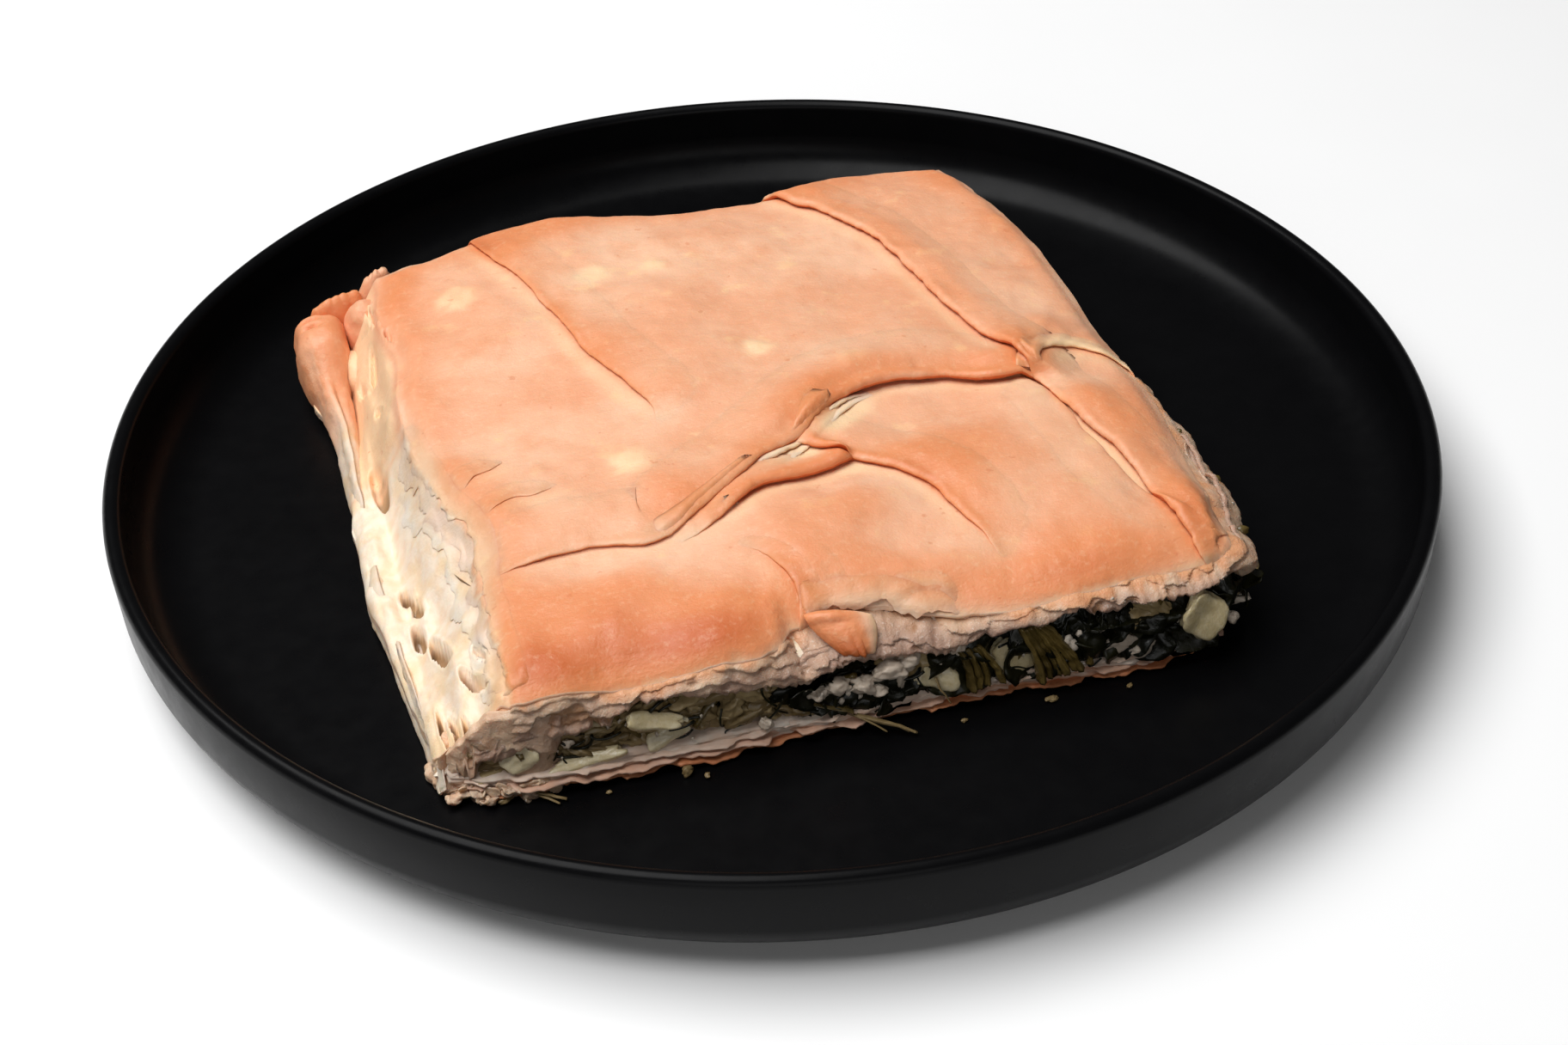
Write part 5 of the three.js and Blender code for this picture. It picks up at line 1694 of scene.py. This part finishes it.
def stalks(rng, material):
    """Ridged, flattened stalks: two fans and single ones in front, short ones in the other cuts."""
    heap = Heap()
    placed = list(FRONT_STALKS)
    for count, top, bottom, top_step, bottom_step, radius in STALK_FANS:
        for k in range(count):
            shift = rng.normal(0, 0.16, 3)
            upper = np.array(top) + k * np.array(top_step) + shift
            lower = np.array(bottom) + k * np.array(bottom_step) - 2 * shift
            placed.append((upper, lower, radius * rng.uniform(0.75, 1.15), rng.uniform(0.1, 0.8)))
    for top, bottom, radius, tint in placed:
        path = curve3(top, bottom, (0.9, -0.4, 0.2), 26)
        taper = radius * np.linspace(0.8, 1.1, len(path))
        heap.add(*tube(path, taper, 24, ridges=6, ridge=0.1, flat=0.5), tint)
    for side, _ in strewn(right=26, back=22, front=9):
        point, out, along = spot(rng, side, 0.15, 0.85)
        way = along * rng.normal(0, 0.8) + upwards(1.0) + out * rng.normal(0, 0.25)
        way = way / np.linalg.norm(way) * rng.uniform(2.5, 4.2)
        inside = point - out * 0.5
        path = curve3(inside + way, inside - way, rng.normal(0, 0.8, 3))
        radius = rng.uniform(0.5, 1.0) * np.linspace(1.05, 0.8, len(path))
        heap.add(*tube(path, radius, 12, ridges=5, ridge=0.12, flat=0.75), rng.uniform(0.2, 0.9))
    return heap.finish("spinach_stalks", material, "filling")


def threads(rng, material):
    """Dill and shredded greens."""
    heap = Heap()
    for side, _ in strewn(front=46, right=30, back=26):
        point, out, along = spot(rng, side, 0.0, 0.95)
        way = along * rng.normal(0, 1) + upwards(rng.normal(0, 0.7)) + 0.001
        way = way / np.linalg.norm(way) * rng.uniform(1.0, 2.6)
        inside = point + out * rng.uniform(-0.2, 0.8)
        path = curve3(inside + way, inside - way, rng.normal(0, 0.9, 3), 10)
        heap.add(*tube(path, rng.uniform(0.13, 0.28), 7), rng.uniform(0, 0.7))
    return heap.finish("dill_threads", material, "filling")


def onion_piece(size, bend, seed):
    """A diced onion layer: a boxy slab, bowed along its length."""
    points, faces = lump(size, seed, level=4, bumps=0.25, square=4.0)
    points[:, 2] += bend * (points[:, 0] / size[0]) ** 2 - bend / 2
    points[:, 2] += 0.04 * np.sin(points[:, 1] * 4 + 0.6 * points[:, 0])
    return points, faces


# Onion in the front cut: place, half sizes, bow, direction of its length, the way it faces.
FRONT_ONIONS = (
    ((52.4, -66.4, 14.8), (3.6, 3.4, 1.3), 0.9, (1, 0, -0.9), (-0.1, -1, 0.45)),
    ((-35.0, -66.4, 14.8), (3.9, 1.3, 0.8), 0.7, (1, 0, -0.25), (0, -1, 0.9)),
    ((-33.2, -65.4, 11.2), (3.4, 1.5, 0.8), 0.8, (1, 0, 0.5), (0, -1, 0.5)),
    ((-46.0, -66.0, 9.6), (5.6, 1.2, 0.7), 0.6, (1, 0, 0.12), (0, -1, 1.6)),
    ((-55.8, -65.6, 12.0), (2.4, 2.0, 0.8), 0.5, (1, 0, 0.9), (-0.2, -1, 0.5)),
    ((21.4, -64.6, 12.4), (2.6, 3.2, 1.0), 0.5, (1, 0, 0.4), (0, -1, 0.2)),
    ((9.2, -65.4, 11.6), (3.2, 1.9, 0.9), 0.5, (1, 0, -0.4), (0, -1, 0.3)),
)


def onions(rng, material):
    """Onion, in pieces of its own in front and strewn over the other cuts."""
    heap = Heap()
    for k, (place, size, bend, way, facing) in enumerate(FRONT_ONIONS):
        points, faces = onion_piece(size, bend, 130 + k)
        heap.add(turned(points, axes_from(way, facing), place), faces, rng.uniform(0.1, 0.6))
    for side, k in strewn(right=9, back=10):
        point, out, along = spot(rng, side, 0.25, 0.75)
        size = (rng.uniform(2.0, 3.6), rng.uniform(1.4, 2.6), rng.uniform(0.8, 1.2))
        points, faces = onion_piece(size, rng.uniform(0.2, 0.9), 150 + k)
        way = along + upwards(rng.normal(0, 0.5))
        axes = axes_from(way, out + upwards(rng.uniform(0, 0.6)))
        heap.add(turned(points, axes, point - out * 0.3), faces, rng.uniform(0, 1))
    return heap.finish("onion_pieces", material, "filling")


# Cheese in the front cut: place and half sizes.
FRONT_CHEESE = (
    ((1.6, -66.6, 15.6), (2.9, 1.6, 1.5)), ((-2.6, -66.6, 14.2), (2.3, 1.5, 1.2)),
    ((-6.4, -66.3, 14.0), (2.2, 1.4, 1.3)), ((4.4, -66.2, 16.6), (1.7, 1.2, 1.1)),
    ((-0.6, -66.8, 12.6), (1.5, 1.2, 0.9)), ((-9.4, -66.0, 13.4), (1.6, 1.2, 1.0)),
    ((12.3, -66.0, 16.6), (1.1, 1.0, 1.0)), ((-18.2, -66.9, 10.2), (0.9, 0.9, 1.1)),
    ((38.4, -66.0, 11.8), (2.8, 1.1, 1.6)), ((42.6, -66.2, 10.0), (2.6, 1.1, 1.2)),
    ((58.6, -64.6, 11.2), (0.8, 0.7, 1.0)), ((35.6, -66.0, 16.0), (1.0, 0.9, 1.2)),
)


def cheese(rng, material):
    """Crumbled cheese: lumps in front, smaller ones in the other cuts, and crumbs everywhere."""
    heap = Heap()
    for k, (place, size) in enumerate(FRONT_CHEESE):
        points, faces = lump(np.array(size), 170 + k, level=4, bumps=0.5)
        points = points + 0.3 * shaken(points, 0.9, 850 + k)
        heap.add(points + place + [0, 0.5, 0], faces, 0.35)
    for side, k in strewn(right=22, back=18, front=5):
        point, out, _ = spot(rng, side, 0.1, 0.95)
        size = rng.uniform(0.5, 1.5) * rng.uniform(0.5, 1.3, 3)
        points, faces = lump(size, 190 + k, level=3, bumps=0.8)
        heap.add(points + point + out * rng.uniform(-0.4, 0.5), faces, rng.uniform(0.4, 1))
    for side, k in strewn(right=50, back=40, front=26):
        point, out, _ = spot(rng, side, 0.0, 1.0)
        size = rng.uniform(0.15, 0.4) * np.array([1.0, 0.8, 1.3])
        points, faces = lump(size, 230 + k, level=2, bumps=0.9)
        heap.add(points + point + out * rng.uniform(0.0, 1.0), faces, rng.uniform(0.3, 1))
    return heap.finish("cheese_crumbs", material, "filling")


# Scraps fallen on the plate by the front cut: place, half sizes, turn.
PLATE_CRUMBS = (
    ((-31.0, -68.8, 5.9), (1.0, 0.7, 0.8), 20), ((-28.4, -70.2, 5.4), (0.5, 0.4, 0.35), 70),
    ((27.2, -68.6, 5.5), (1.2, 0.5, 0.4), 10), ((12.5, -69.4, 5.35), (0.5, 0.35, 0.3), 0),
    ((-58.6, -66.6, 5.5), (1.2, 0.8, 0.5), 30), ((-43.5, -69.6, 5.3), (0.4, 0.3, 0.25), 0),
    ((40.0, -69.0, 5.35), (0.6, 0.4, 0.3), 40), ((70.5, -47.0, 5.4), (0.8, 0.5, 0.4), 60),
    ((70.0, -38.5, 5.3), (0.5, 0.4, 0.3), 10),
)
# Shreds of onion and greens fallen half out of the cut: start, end, radius.
PLATE_SHREDS = (
    ((-56.0, -66.6, 6.4), (-49.8, -69.4, 5.5), 0.45), ((-55.0, -66.8, 5.8), (-51.0, -70.0, 5.4), 0.35),
    ((-3.8, -66.8, 8.4), (4.6, -70.4, 5.8), 0.5), ((-2.4, -66.6, 7.4), (3.4, -69.6, 5.6), 0.35),
    ((-5.2, -66.2, 8.8), (0.2, -69.6, 6.4), 0.3), ((8.6, -66.4, 12.4), (10.8, -68.4, 8.6), 0.3),
)
SHRED_STEPS = 22


def plate_crumbs(material):
    """Crumbs and shreds fallen from the cuts onto the plate."""
    heap = Heap()
    for k, (place, size, turn) in enumerate(PLATE_CRUMBS):
        points, faces = lump(size, 960 + k, level=4, bumps=0.4)
        heap.add(turned(points, turned_axes(turn), place), faces, 0.2 + 0.1 * (k % 3))
    for k, (start, end, radius) in enumerate(PLATE_SHREDS):
        path = curve3(start, end, (0.2, -0.4, 0.5), SHRED_STEPS)
        path[:, 0] += 0.5 * noise(path[:, 1], k, 1.3, 970)
        taper = radius * np.linspace(1.2, 0.7, SHRED_STEPS)
        heap.add(*tube(path, taper, 14, ridges=5, ridge=0.16, flat=0.5), 0.3)
    return heap.finish("plate_crumbs", material, "filling")


# ------------------------------------------------------------------ plate
PLATE_AROUND = 256


def plate_profile():
    """From the middle of the upper face, over the wall and back to the middle underneath."""
    r, wall, floor = PLATE_RADIUS, PLATE_WALL, PLATE_FLOOR
    flat = np.column_stack([np.linspace(0.001, r - wall - 11, 8), np.full(8, floor)])
    fillet = bowed((r - wall - 11, floor), (r - wall - 1.5, floor), (r - wall, floor + 8), 22)
    angle = np.linspace(math.pi, 0, 14)
    lip_centre = np.array([r - wall / 2, PLATE_HEIGHT - wall / 2])
    lip = lip_centre + wall / 2 * np.column_stack([np.cos(angle), np.sin(angle)])
    outside = bowed((r - 0.4, floor + 5), (r - 2, 1.6), (r - 16, 1.4), 22)
    foot = np.array([(r - 19.4, 0.3), (r - 20, 0), (r - 24, 0), (r - 24.6, 0.3), (r - 27, 1.5)])
    under = np.column_stack([np.linspace(r - 28, 0.001, 12), np.full(12, 1.5)])
    return np.concatenate([flat, fillet[1:], lip, outside, foot, under])


def plate(material):
    """The plate, turned from its profile."""
    angle = np.linspace(0, 2 * math.pi, PLATE_AROUND, endpoint=False)
    around = np.column_stack([np.cos(angle), np.sin(angle)])
    points, faces = closed_stack([ring_at(0 * around, around, r, z) for r, z in plate_profile()])
    return make_piece("plate_body", points, faces, material, "plate_glaze")


# ------------------------------------------------------------------ studio
CAMERA_PLACE = (-83.403, -352.267, 272.470)
CAMERA_TARGET = (-5.737, -31.234, 20.0)
CAMERA_ROLL = math.radians(-1.954)
CAMERA_LENS = 59.21
CAMERA_SENSOR = 36
CAMERA_NEAR = 0.01
FLOOR_SIZE = 3.0
WORLD_STRENGTH = 0.05
# Lights in metres, all turned to the origin: place, sizes, watts.
LIGHTS = {
    "key": ((-0.42, 0.12, 1.15), (1.3, 0.9), 21),
    "fill": ((-0.25, -1.3, 0.5), (1.2, 0.7), 3.4),
}


def camera():
    """The photo's viewpoint, fitted to the plate's rim and the slice's corners."""
    data = bpy.data.cameras.new("camera")
    data.lens = CAMERA_LENS
    data.sensor_width = CAMERA_SENSOR
    data.clip_start = CAMERA_NEAR
    eye = bpy.data.objects.new("camera", data)
    back = (Vector(CAMERA_PLACE) - Vector(CAMERA_TARGET)).normalized()
    right = Vector((0, 0, 1)).cross(back).normalized()
    up = back.cross(right)
    rolled_right = right * math.cos(CAMERA_ROLL) + up * math.sin(CAMERA_ROLL)
    rolled_up = up * math.cos(CAMERA_ROLL) - right * math.sin(CAMERA_ROLL)
    turn = Matrix((rolled_right, rolled_up, back)).transposed().to_4x4()
    eye.matrix_world = Matrix.Translation(Vector(CAMERA_PLACE) * MM) @ turn
    bpy.context.scene.collection.objects.link(eye)
    bpy.context.scene.camera = eye


def area_light(name, place, size, watts):
    """A rectangular light turned to the origin."""
    data = bpy.data.lights.new(name, "AREA")
    data.shape = "RECTANGLE"
    data.size, data.size_y = size
    data.energy = watts
    light = bpy.data.objects.new(name, data)
    light.location = place
    light.rotation_euler = (-Vector(place)).to_track_quat("-Z", "Y").to_euler()
    bpy.context.scene.collection.objects.link(light)


def studio():
    """A white floor, two lights and a faint white sky."""
    shape = bmesh.new()
    bmesh.ops.create_grid(shape, x_segments=8, y_segments=8, size=FLOOR_SIZE)
    mesh = bpy.data.meshes.new("floor")
    shape.to_mesh(mesh)
    shape.free()
    floor = bpy.data.objects.new("floor", mesh)
    mesh.materials.append(floor_material())
    bpy.context.scene.collection.objects.link(floor)
    for name, settings in LIGHTS.items():
        area_light(name, *settings)
    world = bpy.data.worlds.new("studio")
    world.use_nodes = True
    background = world.node_tree.nodes["Background"]
    background.inputs["Color"].default_value = (1, 1, 1, 1)
    background.inputs["Strength"].default_value = WORLD_STRENGTH
    bpy.context.scene.world = world
    bpy.context.scene.view_settings.view_transform = "Standard"


# ------------------------------------------------------------------ the scene
def filling(rng):
    """All that is between the crusts, and what has fallen out."""
    spinach = wet_material("spinach", (0.0024, 0.0029, 0.0011), (0.020, 0.018, 0.005), 0.34, 0.12,
                           Specular_IOR_Level=0.3)
    stem = wet_material("stalk", (0.040, 0.026, 0.006), (0.17, 0.115, 0.03), 0.3, 0.25)
    olive = wet_material("mash", (0.12, 0.075, 0.025), (0.40, 0.29, 0.14), 0.35, 0.15,
                         Specular_IOR_Level=0.35)
    onion = wet_material("onion", (0.56, 0.44, 0.22), (0.78, 0.68, 0.48), 0.25, 0.3,
                         **soft(0.25, 0.002, 1.0, 0.8, 0.5))
    curd = wet_material("cheese", (0.46, 0.36, 0.27), (0.70, 0.59, 0.48), 0.5, 0.1,
                        **soft(0.2, 0.002, 1.0, 0.8, 0.7))
    pieces = [filling_core(spinach), leaves(rng, spinach), mash(rng, olive), stalks(rng, stem)]
    return pieces + [threads(rng, spinach), onions(rng, onion), cheese(rng, curd), plate_crumbs(olive)]


def dress():
    """Every piece, riding on the one body, with the solids that it replaces hidden."""
    prepare_folds()
    rng = np.random.default_rng(11)
    skin, dough, torn = crust_material(), lower_crust_material(), torn_dough_material()
    pieces = {"upper_crust": [
        upper_crust(skin), skin_folds(skin), skin_flaps(skin), torn_band(torn), corner_wall(torn),
        crust_layers(torn), crust_flakes(rng, torn),
    ]}
    pieces["lower_crust"] = [lower_crust(dough), lower_layers(dough), rim(skin)]
    pieces["filling"] = filling(rng)
    pieces["plate"] = [plate(plate_material())]
    for node, covering in pieces.items():
        for piece in covering:
            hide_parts(node)


camera()
studio()
dress()
